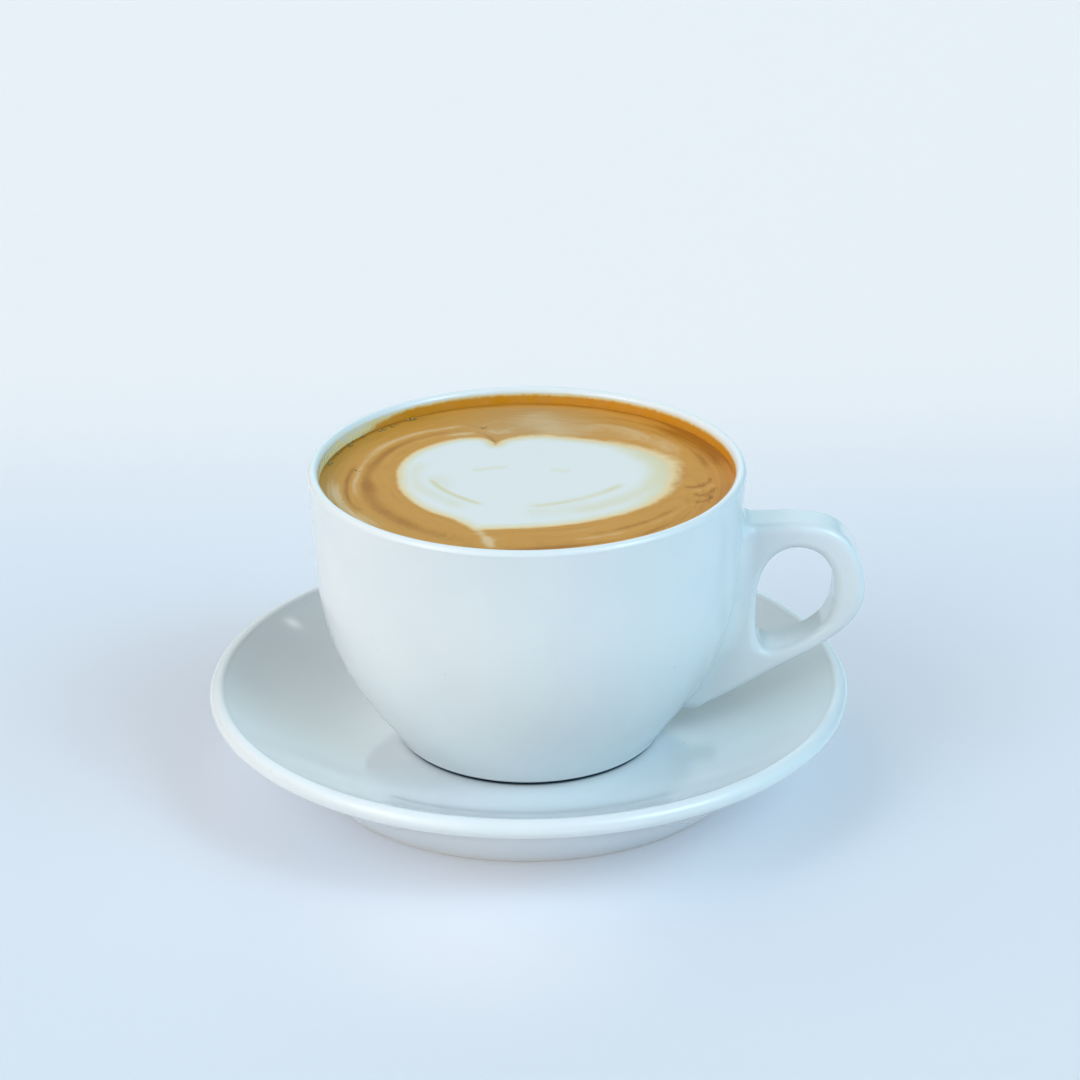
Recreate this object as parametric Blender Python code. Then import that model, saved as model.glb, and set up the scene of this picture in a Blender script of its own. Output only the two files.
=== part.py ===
"""Cup of cappuccino: a glazed cup with its drink and a foam heart, standing on a saucer.

Metres, +Z up. The origin lies midway along the whole length and width, in the plane that the
saucer's foot rests on. The handle points along +X, so the axis that the cup and saucer are turned
about lies a little towards -X. Run with: blender --background --python part.py
"""

import math

import bmesh
import bpy
from mathutils import Vector

# Shared values
GAP = 0.0003            # air between two pieces that touch
TURN_STEPS = 64         # facets of every turned piece
ROLL_STEPS = 8          # facets across the saucer's lip
LIP_STEPS = 6           # and across the cup's
WALL_STEPS = 14         # up the cup's outside
BORE_STEPS = 11         # up its inside
DISH_STEPS = 9          # across the saucer's dish
UNDER_STEPS = 5         # across its underside
EDGE_STEPS = 3          # round a small edge
CURVE_STEPS = 4         # between two named points of an outline
BORE_CROWDING = 1.8     # how much closer the inside's steps lie near the floor
WALL_CROWDING = 1.5     # and the outside's near the foot
WELD = 0.000001         # vertices nearer than this are one

# Saucer
SAUCER_RADIUS = 0.0760
SAUCER_LIP_HEIGHT = 0.0232      # top of the lip above the table
SAUCER_LIP_ROUND = 0.0022       # radius of the rolled edge
SAUCER_LIP_INNER_DEG = 130.0    # where the rolled edge meets the dish
SAUCER_LIP_OUTER_DEG = -45.0    # and where it meets the underside
SAUCER_WELL_RADIUS = 0.0340     # flat middle that the cup stands on
SAUCER_WELL_HEIGHT = 0.0093
SAUCER_DISH_POWER = 1.65        # how late the dish rises towards its lip
SAUCER_FOOT_RADIUS = 0.0510     # outer edge of the foot ring
SAUCER_FOOT_WIDTH = 0.0044
SAUCER_FOOT_ROUND = 0.0007
SAUCER_FOOT_CHAMFER = 0.0009    # bevel on the foot ring's inner edge
SAUCER_FOOT_SLOPE = 0.0032      # how far the ring's inner side leans in
SAUCER_UNDER_HOLLOW = 0.0007    # how far the underside is hollowed from a straight cone
SAUCER_RECESS_HEIGHT = 0.0040   # ceiling of the hollow inside the foot ring

# Cup body
CUP_HEIGHT = 0.0679
CUP_FOOT_HEIGHT = SAUCER_WELL_HEIGHT + GAP
CUP_RIM_HEIGHT = CUP_FOOT_HEIGHT + CUP_HEIGHT
CUP_LIP_ROUND = 0.0013          # radius of the rounded lip
CUP_BELLY_HEIGHT = 0.0108       # height where the curved wall turns in to the foot
CUP_BELLY_RADIUS = 0.0315       # radius of the wall there
CUP_WALL_RADIUS = 0.0504        # radius that the wall swells to
CUP_WALL_FLARE = 0.0009         # extra radius that the wall gains by the lip
CUP_FLARE_START = 0.70          # share of the wall's height where the flare begins
CUP_BELLY_POWER = 3.77
CUP_BELLY_EASE = 1.245
CUP_FOOT_EDGE = 0.0292          # flat ring under the cup, from here
CUP_FOOT_INNER = 0.0250         # to here
CUP_FOOT_CHAMFER = 0.0005       # bevel where the wall turns in to the foot
CUP_UNDER_HOLLOW = 0.0018       # hollow inside that ring
CUP_UNDER_SLOPE = 0.0012        # how far the hollow's side leans in

# Inside of the cup
BOWL_FLOOR_HEIGHT = 0.0160
BOWL_FLOOR_RADIUS = 0.0240
BOWL_WALL_RADIUS = 0.0456
BOWL_WALL_FLARE = 0.0031        # extra radius that the bore gains by the lip
BOWL_FLARE_START = 0.45         # share of the bore's height where it begins
BOWL_POWER = 4.2
BOWL_EASE = 1.0
BOWL_DIP = 0.0006               # how much lower the floor's middle is

# Drink
DRINK_DEPTH_BELOW_RIM = 0.0045
DRINK_LEVEL = CUP_RIM_HEIGHT - DRINK_DEPTH_BELOW_RIM
FOAM_THICKNESS = 0.0024         # depth of the foam heart in the drink
FOAM_CROWN = 0.0003             # height of the heart above the drink
FOAM_SOFT_EDGE = 0.0012         # width of the heart's eased edge

# Handle, as (x, z) seen from the front
HANDLE_OUTER = (
    (0.0490, 0.0635), (0.0570, 0.0637), (0.0650, 0.0636), (0.0720, 0.0618), (0.0767, 0.0570),
    (0.0790, 0.0502), (0.0789, 0.0434), (0.0758, 0.0379), (0.0700, 0.0333), (0.0600, 0.0277),
    (0.0500, 0.0222), (0.0400, 0.0167),
)
HANDLE_HOLE = (
    (0.0632, 0.0576), (0.0675, 0.0565), (0.0706, 0.0533), (0.0720, 0.0486), (0.0717, 0.0430),
    (0.0695, 0.0380), (0.0652, 0.0343), (0.0605, 0.0324), (0.0570, 0.0319), (0.0546, 0.0333),
    (0.0537, 0.0378), (0.0537, 0.0440), (0.0544, 0.0493), (0.0564, 0.0538), (0.0594, 0.0566),
)
HANDLE_HOLE_CENTRE = (0.0622, 0.0452)
HANDLE_BITE = 0.0019            # how far the handle is sunk into the wall
HANDLE_HALF_WIDTH = 0.0058      # half the strap's width
HANDLE_ROOT_HALF_WIDTH = 0.0074  # and where its lower arm joins the wall
HANDLE_ARM_END = 0.0690         # distance from the axis where that arm starts to widen
HANDLE_EDGE_ROUND = 0.0021      # radius of the strap's edges
HANDLE_STATIONS = 56
ROOT_STEPS = 16                 # along the sunk side of the handle

# Foam heart, as (x, y) seen from above, from the notch round by the right lobe
HEART_RIGHT = (
    (-0.0075, 0.0228), (-0.0040, 0.0268), (0.0030, 0.0286), (0.0110, 0.0268), (0.0200, 0.0240),
    (0.0292, 0.0190), (0.0350, 0.0115), (0.0352, 0.0020), (0.0310, -0.0090), (0.0235, -0.0180),
    (0.0120, -0.0240), (0.0000, -0.0266), (-0.0118, -0.0274),
)
HEART_LEFT = (
    (-0.0118, -0.0274), (-0.0160, -0.0222), (-0.0235, -0.0150), (-0.0285, -0.0060),
    (-0.0300, 0.0040), (-0.0290, 0.0130), (-0.0240, 0.0215), (-0.0165, 0.0270),
    (-0.0105, 0.0272), (-0.0075, 0.0228),
)

# Colour, roughness and metallic value of each material
PORCELAIN = ((0.80, 0.86, 0.89), 0.12, 0.0)
CREMA = ((0.46, 0.28, 0.11), 0.35, 0.0)
MILK_FOAM = ((0.76, 0.80, 0.80), 0.40, 0.0)


def clear_scene():
    """Remove every object that is in the scene."""
    for thing in list(bpy.data.objects):
        bpy.data.objects.remove(thing, do_unlink=True)


def make_material(name, finish):
    """Return a Principled material with the finish's colour, roughness and metallic value."""
    colour, roughness, metallic = finish
    material = bpy.data.materials.new(name)
    material.use_nodes = True
    shader = material.node_tree.nodes["Principled BSDF"]
    shader.inputs["Base Color"].default_value = (*colour, 1.0)
    shader.inputs["Roughness"].default_value = roughness
    shader.inputs["Metallic"].default_value = metallic
    material.diffuse_color = (*colour, 1.0)
    return material


def add_object(name, bm, material, parent=None, smooth_angle=35.0):
    """Turn a bmesh into a named object with its material, shaded smooth."""
    bmesh.ops.recalc_face_normals(bm, faces=bm.faces)
    mesh = bpy.data.meshes.new(name)
    bm.to_mesh(mesh)
    bm.free()
    mesh.materials.append(material)
    mesh.shade_smooth()
    mesh.set_sharp_from_angle(angle=math.radians(smooth_angle))
    thing = bpy.data.objects.new(name, mesh)
    bpy.context.scene.collection.objects.link(thing)
    thing.parent = parent
    return thing


def arc(centre, radius, start_deg, end_deg, steps):
    """Return points of an arc in (r, z), both ends included."""
    points = []
    for i in range(steps + 1):
        angle = math.radians(start_deg + (end_deg - start_deg) * i / steps)
        points.append((centre[0] + radius * math.cos(angle), centre[1] + radius * math.sin(angle)))
    return points


def smooth_curve(points, per_span, closed=False):
    """Return a Catmull-Rom curve through the points, with per_span steps between two of them."""
    count = len(points)
    spans = count if closed else count - 1
    curve = []
    for i in range(spans):
        if closed:
            p0, p1, p2, p3 = (Vector(points[(i + k) % count]) for k in (-1, 0, 1, 2))
        else:
            p1, p2 = Vector(points[i]), Vector(points[i + 1])
            p0 = Vector(points[i - 1]) if i > 0 else 2 * p1 - p2
            p3 = Vector(points[i + 2]) if i + 2 < count else 2 * p2 - p1
        for k in range(per_span):
            t = k / per_span
            curve.append(0.5 * (2 * p1 + (p2 - p0) * t + (2 * p0 - 5 * p1 + 4 * p2 - p3) * t * t
                                + (3 * p1 - p0 - 3 * p2 + p3) * t ** 3))
    if not closed:
        curve.append(Vector(points[-1]))
    return [tuple(point) for point in curve]


def turn(profile):
    """Spin a profile of (r, z) points, from axis to axis, into a closed turned body."""
    bm = bmesh.new()
    verts = [bm.verts.new((r, 0.0, z)) for r, z in profile]
    edges = [bm.edges.new(pair) for pair in zip(verts, verts[1:])]
    bmesh.ops.spin(bm, geom=verts + edges, cent=(0, 0, 0), axis=(0, 0, 1),
                   angle=math.tau, steps=TURN_STEPS, use_merge=True)
    bmesh.ops.remove_doubles(bm, verts=bm.verts, dist=WELD)
    bmesh.ops.dissolve_degenerate(bm, edges=bm.edges, dist=WELD)
    return bm


def swell(share, power, ease):
    """Return how far a bowl has swelled, from 0 to 1, at a share of its height."""
    return (1.0 - (1.0 - share) ** power) ** ease


def share_of(value, low, high):
    """Return where a value lies between low and high, from 0 to 1."""
    return min(max((value - low) / (high - low), 0.0), 1.0)


def outer_radius(height):
    """Return the radius of the cup's outside at a height."""
    share = share_of(height, CUP_BELLY_HEIGHT, CUP_RIM_HEIGHT)
    flare = CUP_WALL_FLARE * share_of(share, CUP_FLARE_START, 1.0) ** 2
    belly = swell(share, CUP_BELLY_POWER, CUP_BELLY_EASE)
    return CUP_BELLY_RADIUS + (CUP_WALL_RADIUS - CUP_BELLY_RADIUS) * belly + flare


def inner_radius(height):
    """Return the radius of the cup's inside at a height."""
    share = share_of(height, BOWL_FLOOR_HEIGHT, CUP_RIM_HEIGHT)
    late = share_of(share, BOWL_FLARE_START, 1.0)
    flare = BOWL_WALL_FLARE * late * late * (3.0 - 2.0 * late)
    belly = swell(share, BOWL_POWER, BOWL_EASE)
    return BOWL_FLOOR_RADIUS + (BOWL_WALL_RADIUS - BOWL_FLOOR_RADIUS) * belly + flare


def rising_heights(low, high, steps, crowding):
    """Return heights from low to high, closer together near the low end."""
    return [low + (high - low) * (i / steps) ** crowding for i in range(steps + 1)]


def dish_points(end):
    """Return the dish's section, from the edge of the well up to just before an end point."""
    points = []
    for i in range(DISH_STEPS):
        share = i / DISH_STEPS
        rise = share ** SAUCER_DISH_POWER
        points.append((SAUCER_WELL_RADIUS + (end[0] - SAUCER_WELL_RADIUS) * share,
                       SAUCER_WELL_HEIGHT + (end[1] - SAUCER_WELL_HEIGHT) * rise))
    return points


def underside_points(start, end):
    """Return points between two ends on a slightly hollowed cone."""
    points = []
    slope = (Vector(start) - Vector(end)).normalized()
    for i in range(1, UNDER_STEPS):
        share = i / UNDER_STEPS
        hollow = SAUCER_UNDER_HOLLOW * math.sin(math.pi * share)
        point = Vector(start).lerp(Vector(end), share)
        points.append((point.x - hollow * slope.y, point.y + hollow * slope.x))
    return points


def saucer_profile():
    """Return the saucer's section, from the middle of its well round to the hollow below."""
    lip_centre = (SAUCER_RADIUS - SAUCER_LIP_ROUND, SAUCER_LIP_HEIGHT - SAUCER_LIP_ROUND)
    lip = arc(lip_centre, SAUCER_LIP_ROUND, SAUCER_LIP_INNER_DEG, SAUCER_LIP_OUTER_DEG, ROLL_STEPS)
    foot_centre = (SAUCER_FOOT_RADIUS - SAUCER_FOOT_ROUND, SAUCER_FOOT_ROUND)
    foot = arc(foot_centre, SAUCER_FOOT_ROUND, -20, -90, EDGE_STEPS)
    ring = SAUCER_FOOT_RADIUS - SAUCER_FOOT_WIDTH
    shoulder = ring - SAUCER_FOOT_CHAMFER
    hollow = [(ring, 0.0), (shoulder, SAUCER_FOOT_CHAMFER),
              (shoulder - SAUCER_FOOT_SLOPE, SAUCER_RECESS_HEIGHT), (0.0, SAUCER_RECESS_HEIGHT)]
    well = [(0.0, SAUCER_WELL_HEIGHT)]
    return well + dish_points(lip[0]) + lip + underside_points(lip[-1], foot[0]) + foot + hollow


def cup_profile():
    """Return the cup's section, from the middle of its floor over the lip to its underside."""
    lip_z = CUP_RIM_HEIGHT - CUP_LIP_ROUND
    inside = [(inner_radius(z), z)
              for z in rising_heights(BOWL_FLOOR_HEIGHT, lip_z, BORE_STEPS, BORE_CROWDING)]
    floor = [(0.0, BOWL_FLOOR_HEIGHT - BOWL_DIP)]
    lip_r = 0.5 * (inside[-1][0] + outer_radius(lip_z))
    lip = arc((lip_r, lip_z), CUP_LIP_ROUND, 165, 15, LIP_STEPS)
    outside = [(outer_radius(z), z)
               for z in rising_heights(CUP_BELLY_HEIGHT, lip_z, WALL_STEPS, WALL_CROWDING)]
    outside.reverse()
    foot = [(CUP_BELLY_RADIUS - CUP_FOOT_CHAMFER, CUP_BELLY_HEIGHT - CUP_FOOT_CHAMFER),
            (CUP_FOOT_EDGE, CUP_FOOT_HEIGHT)]
    ceiling = CUP_FOOT_HEIGHT + CUP_UNDER_HOLLOW
    hollow = [(CUP_FOOT_INNER, CUP_FOOT_HEIGHT), (CUP_FOOT_INNER - CUP_UNDER_SLOPE, ceiling),
              (0.0, ceiling)]
    return floor + inside + lip + outside + foot + hollow


def ray_to_outline(centre, angle, outline):
    """Return the farthest point where a ray from the centre crosses a closed outline."""
    direction = Vector((math.cos(angle), math.sin(angle)))
    origin = Vector(centre)
    best = 0.0
    for start, end in zip(outline, outline[1:] + outline[:1]):
        a = Vector(start) - origin
        b = Vector(end) - origin
        side = b - a
        cross = direction.x * side.y - direction.y * side.x
        if abs(cross) < 1e-12:
            continue
        reach = (a.x * side.y - a.y * side.x) / cross
        along = (a.x * direction.y - a.y * direction.x) / cross
        if 0.0 <= along <= 1.0 and reach > best:
            best = reach
    return origin + direction * best


def handle_outlines():
    """Return the handle's outer outline, closed inside the cup's wall, and its hole."""
    hole = smooth_curve(HANDLE_HOLE, CURVE_STEPS, closed=True)
    outer = smooth_curve(HANDLE_OUTER, CURVE_STEPS)
    top, bottom = HANDLE_OUTER[0][1], HANDLE_OUTER[-1][1]
    for i in range(ROOT_STEPS + 1):
        z = bottom + (top - bottom) * i / ROOT_STEPS
        outer.append((outer_radius(z) - HANDLE_BITE, z))
    return outer, hole


def handle_half_width(x, z):
    """Return half the strap's width at a place: wider where its lower arm meets the wall."""
    inwards = share_of(x, HANDLE_ARM_END, CUP_WALL_RADIUS)
    downwards = share_of(z, HANDLE_HOLE_CENTRE[1], HANDLE_HOLE[8][1])
    return HANDLE_HALF_WIDTH + (HANDLE_ROOT_HALF_WIDTH - HANDLE_HALF_WIDTH) * inwards * downwards


def strap_section(inner, outer):
    """Return one rounded section of the strap, spanned from the hole's edge to the outline."""
    across = outer - inner
    half = across.length / 2
    middle = (inner + outer) / 2
    direction = across.normalized()
    width = handle_half_width(middle.x, middle.y)
    rounding = min(HANDLE_EDGE_ROUND, half * 0.85)
    ring = []
    for corner, (side_a, side_y) in enumerate(((1, 1), (-1, 1), (-1, -1), (1, -1))):
        for i in range(EDGE_STEPS + 1):
            angle = math.radians(90 * corner + 90 * i / EDGE_STEPS)
            along = side_a * (half - rounding) + rounding * math.cos(angle)
            y = side_y * (width - rounding) + rounding * math.sin(angle)
            point = middle + direction * along
            ring.append(Vector((point.x, y, point.y)))
    return ring


def make_handle():
    """Return the handle as a closed loop of strap sections round its finger hole."""
    outer, hole = handle_outlines()
    bm = bmesh.new()
    rings = []
    for i in range(HANDLE_STATIONS):
        angle = math.tau * i / HANDLE_STATIONS
        inner_point = ray_to_outline(HANDLE_HOLE_CENTRE, angle, hole)
        outer_point = ray_to_outline(HANDLE_HOLE_CENTRE, angle, outer)
        rings.append([bm.verts.new(point) for point in strap_section(inner_point, outer_point)])
    for ring, following in zip(rings, rings[1:] + rings[:1]):
        for k in range(len(ring)):
            after = (k + 1) % len(ring)
            bm.faces.new((ring[k], ring[after], following[after], following[k]))
    return bm


def drink_profile():
    """Return the drink's section: the cup's inside, kept clear of it, up to the drink's level."""
    heights = rising_heights(BOWL_FLOOR_HEIGHT + GAP, DRINK_LEVEL, BORE_STEPS - 2, BORE_CROWDING)
    side = [(inner_radius(z) - GAP, z) for z in heights]
    side[0] = (BOWL_FLOOR_RADIUS - GAP, heights[0])
    return [(0.0, BOWL_FLOOR_HEIGHT + GAP)] + side + [(0.0, DRINK_LEVEL)]


def heart_outline():
    """Return the heart's outline, with its notch and its tip kept sharp."""
    right = smooth_curve(HEART_RIGHT, CURVE_STEPS)
    left = smooth_curve(HEART_LEFT, CURVE_STEPS)
    return right[:-1] + left[:-1]


def offset_outline(outline, distance):
    """Return a clockwise outline moved outwards by a distance, mitred at its corners."""
    moved = []
    count = len(outline)
    for i, point in enumerate(outline):
        before = (Vector(point) - Vector(outline[i - 1])).normalized()
        after = (Vector(outline[(i + 1) % count]) - Vector(point)).normalized()
        normal = Vector((-before.y, before.x)) + Vector((-after.y, after.x))
        normal.normalize()
        spread = max(normal.dot(Vector((-after.y, after.x))), 0.5)
        moved.append(tuple(Vector(point) + normal * distance / spread))
    return moved


def make_slab(outline, bottom, top):
    """Return an upright slab with a flat outline, and its top face."""
    bm = bmesh.new()
    verts = [bm.verts.new((x, y, bottom)) for x, y in outline]
    base = bm.faces.new(verts)
    grown = bmesh.ops.extrude_face_region(bm, geom=[base])
    lifted = [item for item in grown["geom"] if isinstance(item, bmesh.types.BMVert)]
    bmesh.ops.translate(bm, verts=lifted, vec=(0, 0, top - bottom))
    top_face = next(item for item in grown["geom"] if isinstance(item, bmesh.types.BMFace))
    bmesh.ops.recalc_face_normals(bm, faces=bm.faces)
    return bm, top_face


def add_cutter(name, bm, target, operation):
    """Add a hidden tool object and a Boolean modifier that uses it on the target."""
    mesh = bpy.data.meshes.new(name)
    bmesh.ops.recalc_face_normals(bm, faces=bm.faces)
    bm.to_mesh(mesh)
    bm.free()
    tool = bpy.data.objects.new(name, mesh)
    bpy.context.scene.collection.objects.link(tool)
    tool.hide_render = True
    tool.display_type = "WIRE"
    cut = target.modifiers.new(name, "BOOLEAN")
    cut.operation = operation
    cut.solver = "EXACT"
    cut.object = tool
    return tool


def build_saucer(parent):
    """Build the saucer."""
    return add_object("saucer", turn(saucer_profile()), make_material("saucer_glaze", PORCELAIN), parent)


def build_cup(parent):
    """Build the cup and fuse its handle to the wall."""
    cup = add_object("cup", turn(cup_profile()), make_material("cup_glaze", PORCELAIN), parent)
    add_cutter("handle_tool", make_handle(), cup, "UNION").parent = parent
    return cup


def build_drink(parent):
    """Build the drink, with a shallow bed for the foam heart."""
    drink = add_object("coffee", turn(drink_profile()), make_material("crema", CREMA), parent)
    bed_outline = offset_outline(heart_outline(), GAP)
    bed, _ = make_slab(bed_outline, DRINK_LEVEL - FOAM_THICKNESS - GAP, DRINK_LEVEL + 0.002)
    add_cutter("heart_bed_tool", bed, drink, "DIFFERENCE").parent = parent
    return drink


def build_heart(parent):
    """Build the milk foam heart, with an eased upper edge."""
    heart, top_face = make_slab(heart_outline(), DRINK_LEVEL - FOAM_THICKNESS, DRINK_LEVEL)
    bmesh.ops.inset_region(heart, faces=[top_face], thickness=FOAM_SOFT_EDGE, depth=FOAM_CROWN)
    return add_object("milk_foam_heart", heart, make_material("milk_foam", MILK_FOAM), parent)


def axis_place():
    """Return the turning axis's x, so that saucer and handle reach equally far from the origin."""
    handle_reach = max(x for x, z in smooth_curve(HANDLE_OUTER, CURVE_STEPS))
    return (SAUCER_RADIUS - handle_reach) / 2


def main():
    """Build the whole cup of cappuccino."""
    clear_scene()
    whole = bpy.data.objects.new("cup_of_cappuccino", None)
    whole.location.x = axis_place()
    bpy.context.scene.collection.objects.link(whole)
    build_saucer(whole)
    build_cup(whole)
    build_drink(whole)
    build_heart(whole)


main()
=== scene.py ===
"""Looks of a cup of cappuccino on its saucer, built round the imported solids.

Metres, +Z up. Turned pieces are modelled about the Z axis and then moved to the axis that the
solids share. The camera looks along +Y, and the handle points along +X.
"""

from __future__ import annotations

import logging
import math
import random
from collections.abc import Callable, Iterator, Sequence
from contextlib import contextmanager
from dataclasses import dataclass
from enum import Enum

import bmesh
import bpy
import numpy as np
from mathutils import Matrix, Vector

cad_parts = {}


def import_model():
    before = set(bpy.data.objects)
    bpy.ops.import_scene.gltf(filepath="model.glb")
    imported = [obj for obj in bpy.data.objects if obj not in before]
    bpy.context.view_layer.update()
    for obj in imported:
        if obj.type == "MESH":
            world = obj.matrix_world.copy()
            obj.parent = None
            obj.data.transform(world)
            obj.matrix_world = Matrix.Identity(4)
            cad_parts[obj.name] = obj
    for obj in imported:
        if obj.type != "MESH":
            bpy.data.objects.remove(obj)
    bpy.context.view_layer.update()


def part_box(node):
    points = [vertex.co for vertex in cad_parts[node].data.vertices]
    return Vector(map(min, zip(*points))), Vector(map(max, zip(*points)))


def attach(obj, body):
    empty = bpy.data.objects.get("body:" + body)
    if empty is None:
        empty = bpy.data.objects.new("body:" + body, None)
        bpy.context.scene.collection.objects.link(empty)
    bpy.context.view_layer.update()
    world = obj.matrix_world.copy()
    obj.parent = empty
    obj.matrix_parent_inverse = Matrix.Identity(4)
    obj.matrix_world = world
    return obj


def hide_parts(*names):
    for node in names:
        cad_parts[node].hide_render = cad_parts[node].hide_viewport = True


log = logging.getLogger("cappuccino")

MM = 0.001
WELD = 0.001 * MM           # vertices nearer than this are one
NEARLY_ZERO = 1e-12         # stands in for a zero that is divided by

Point = tuple[float, float]
Span = tuple[float, float]
Place = tuple[float, float, float]
Colour = tuple[float, float, float]
Socket = bpy.types.NodeSocket


def paint(red: float, green: float, blue: float) -> Colour:
    """Return a colour given as screen values, from 0 to 255, as linear light."""
    shares = (value / 255 for value in (red, green, blue))
    return tuple(s / 12.92 if s <= 0.04045 else ((s + 0.055) / 1.055) ** 2.4 for s in shares)


def ease(share: np.ndarray | float) -> np.ndarray:
    """Return a smooth step from 0 to 1 of a share, which is clipped to that range first."""
    share = np.clip(share, 0.0, 1.0)
    return share * share * (3.0 - 2.0 * share)


def bell(offset: np.ndarray, width: float) -> np.ndarray:
    """Return a soft bump of height 1, which falls to about a third at its width."""
    return np.exp(-(offset / width) ** 2)


def arc(centre: Point, radius: float, start_deg: float, end_deg: float, steps: int) -> list[Point]:
    """Return points of an arc in a section plane, both ends included.

    Args:
        centre: Middle of the arc.
        radius: Its radius.
        start_deg: Angle of its first point, in degrees.
        end_deg: Angle of its last point.
        steps: Number of spans.

    Returns:
        The points, first to last.
    """
    angles = np.radians(np.linspace(start_deg, end_deg, steps + 1))
    return [(centre[0] + radius * math.cos(a), centre[1] + radius * math.sin(a)) for a in angles]


def smooth_curve(points: Sequence[Point], per_span: int, closed: bool = False) -> np.ndarray:
    """Return a Catmull-Rom curve through some points.

    Args:
        points: Points that the curve passes through.
        per_span: Steps between two of them.
        closed: Whether the curve returns to its first point.

    Returns:
        An array of points, one row each.
    """
    p = np.array(points, float)
    if closed:
        p = np.vstack([p[-1], p, p[0], p[1]])
    else:
        p = np.vstack([2 * p[0] - p[1], p, 2 * p[-1] - p[-2]])
    t = np.linspace(0.0, 1.0, per_span, endpoint=False)[:, None]
    spans = []
    for a, b, c, d in zip(p, p[1:], p[2:], p[3:]):
        spans.append(0.5 * (2 * b + (c - a) * t + (2 * a - 5 * b + 4 * c - d) * t * t
                            + (3 * b - a - 3 * c + d) * t ** 3))
    if not closed:
        spans.append(p[-2:-1])
    return np.vstack(spans)


def deselect_all() -> None:
    """Leave object mode's selection empty."""
    bpy.ops.object.select_all(action="DESELECT")


def select_only(*pieces: bpy.types.Object) -> None:
    """Select some pieces and nothing else.

    Args:
        pieces: The pieces, of which the first becomes the active one.
    """
    deselect_all()
    for piece in pieces:
        piece.select_set(True)
    bpy.context.view_layer.objects.active = pieces[0]


def new_object(name: str, data: bpy.types.ID) -> bpy.types.Object:
    """Put new data in the scene.

    Args:
        name: Name of the new object.
        data: Mesh, lamp or camera that it shows.

    Returns:
        The new object, at the origin.
    """
    holder = bpy.data.objects.new(name, data)
    bpy.context.scene.collection.objects.link(holder)
    return holder


@contextmanager
def edit_mode() -> Iterator[None]:
    """Hold the active object in edit mode, with all of it selected at first."""
    bpy.ops.object.mode_set(mode="EDIT")
    bpy.ops.mesh.select_all(action="SELECT")
    yield
    bpy.ops.object.mode_set(mode="OBJECT")


def turned_piece(name: str, section: Sequence[Point], steps: int) -> bpy.types.Object:
    """Extrude a section point by point and spin it about the Z axis.

    Args:
        name: Name of the new object.
        section: Points as (radius, height), from axis to axis.
        steps: Facets round the piece.

    Returns:
        The closed turned piece, shaded smooth.
    """
    deselect_all()
    bpy.ops.mesh.primitive_plane_add(size=MM, location=(section[0][0], 0.0, section[0][1]))
    piece = bpy.context.object
    piece.name = name
    piece.data.name = name
    bpy.ops.object.transform_apply(location=True, rotation=True, scale=True)
    with edit_mode():
        bpy.ops.mesh.select_mode(type="VERT")
        bpy.ops.mesh.merge(type="CENTER")
        for (r0, z0), (r1, z1) in zip(section, section[1:]):
            step = (r1 - r0, 0.0, z1 - z0)
            bpy.ops.mesh.extrude_region_move(TRANSFORM_OT_translate={"value": step})
        bpy.ops.mesh.select_all(action="SELECT")
        bpy.ops.mesh.spin(steps=steps, angle=math.tau, center=(0, 0, 0), axis=(0, 0, 1))
        bpy.ops.mesh.select_all(action="SELECT")
        bpy.ops.mesh.remove_doubles(threshold=WELD)
        bpy.ops.mesh.normals_make_consistent(inside=False)
    bpy.ops.object.shade_smooth()
    return piece


def move_selected(piece: bpy.types.Object, rule: Callable[[Vector], Vector]) -> None:
    """Move the selected vertices of a piece that is in edit mode.

    Args:
        piece: Object in edit mode.
        rule: Gives a vertex's new place from its old one.
    """
    mesh = bmesh.from_edit_mesh(piece.data)
    for vertex in mesh.verts:
        if vertex.select:
            vertex.co = rule(vertex.co)
    bmesh.update_edit_mesh(piece.data)


def read_rows(items: bpy.types.bpy_prop_collection, key: str) -> np.ndarray:
    """Read a vector of each item of a mesh.

    Args:
        items: The mesh's vertices or normals.
        key: Name of the vector.

    Returns:
        An array, one row each.
    """
    flat = np.zeros(len(items) * 3, np.float32)
    items.foreach_get(key, flat)
    return flat.reshape(-1, 3).astype(float)


def read_points(piece: bpy.types.Object) -> np.ndarray:
    """Return a piece's vertices as an array, one row each."""
    return read_rows(piece.data.vertices, "co")


def reach_from_axis(points: np.ndarray) -> np.ndarray:
    """Return how far points lie from the Z axis."""
    return np.hypot(points[:, 0], points[:, 1])


def write_points(piece: bpy.types.Object, points: np.ndarray) -> None:
    """Set a piece's vertices from an array, one row each."""
    piece.data.vertices.foreach_set("co", points.astype(np.float32).ravel())
    piece.data.update()


def write_attribute(piece: bpy.types.Object, name: str, values: np.ndarray) -> None:
    """Keep one number, or one vector, for each vertex of a piece.

    Args:
        piece: Object that gets the attribute.
        name: Name that its material reads.
        values: One number or one row of three for each vertex.
    """
    vector = values.ndim == 2
    kind, key = ("FLOAT_VECTOR", "vector") if vector else ("FLOAT", "value")
    attribute = piece.data.attributes.new(name, kind, "POINT")
    attribute.data.foreach_set(key, values.astype(np.float32).ravel())


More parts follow.
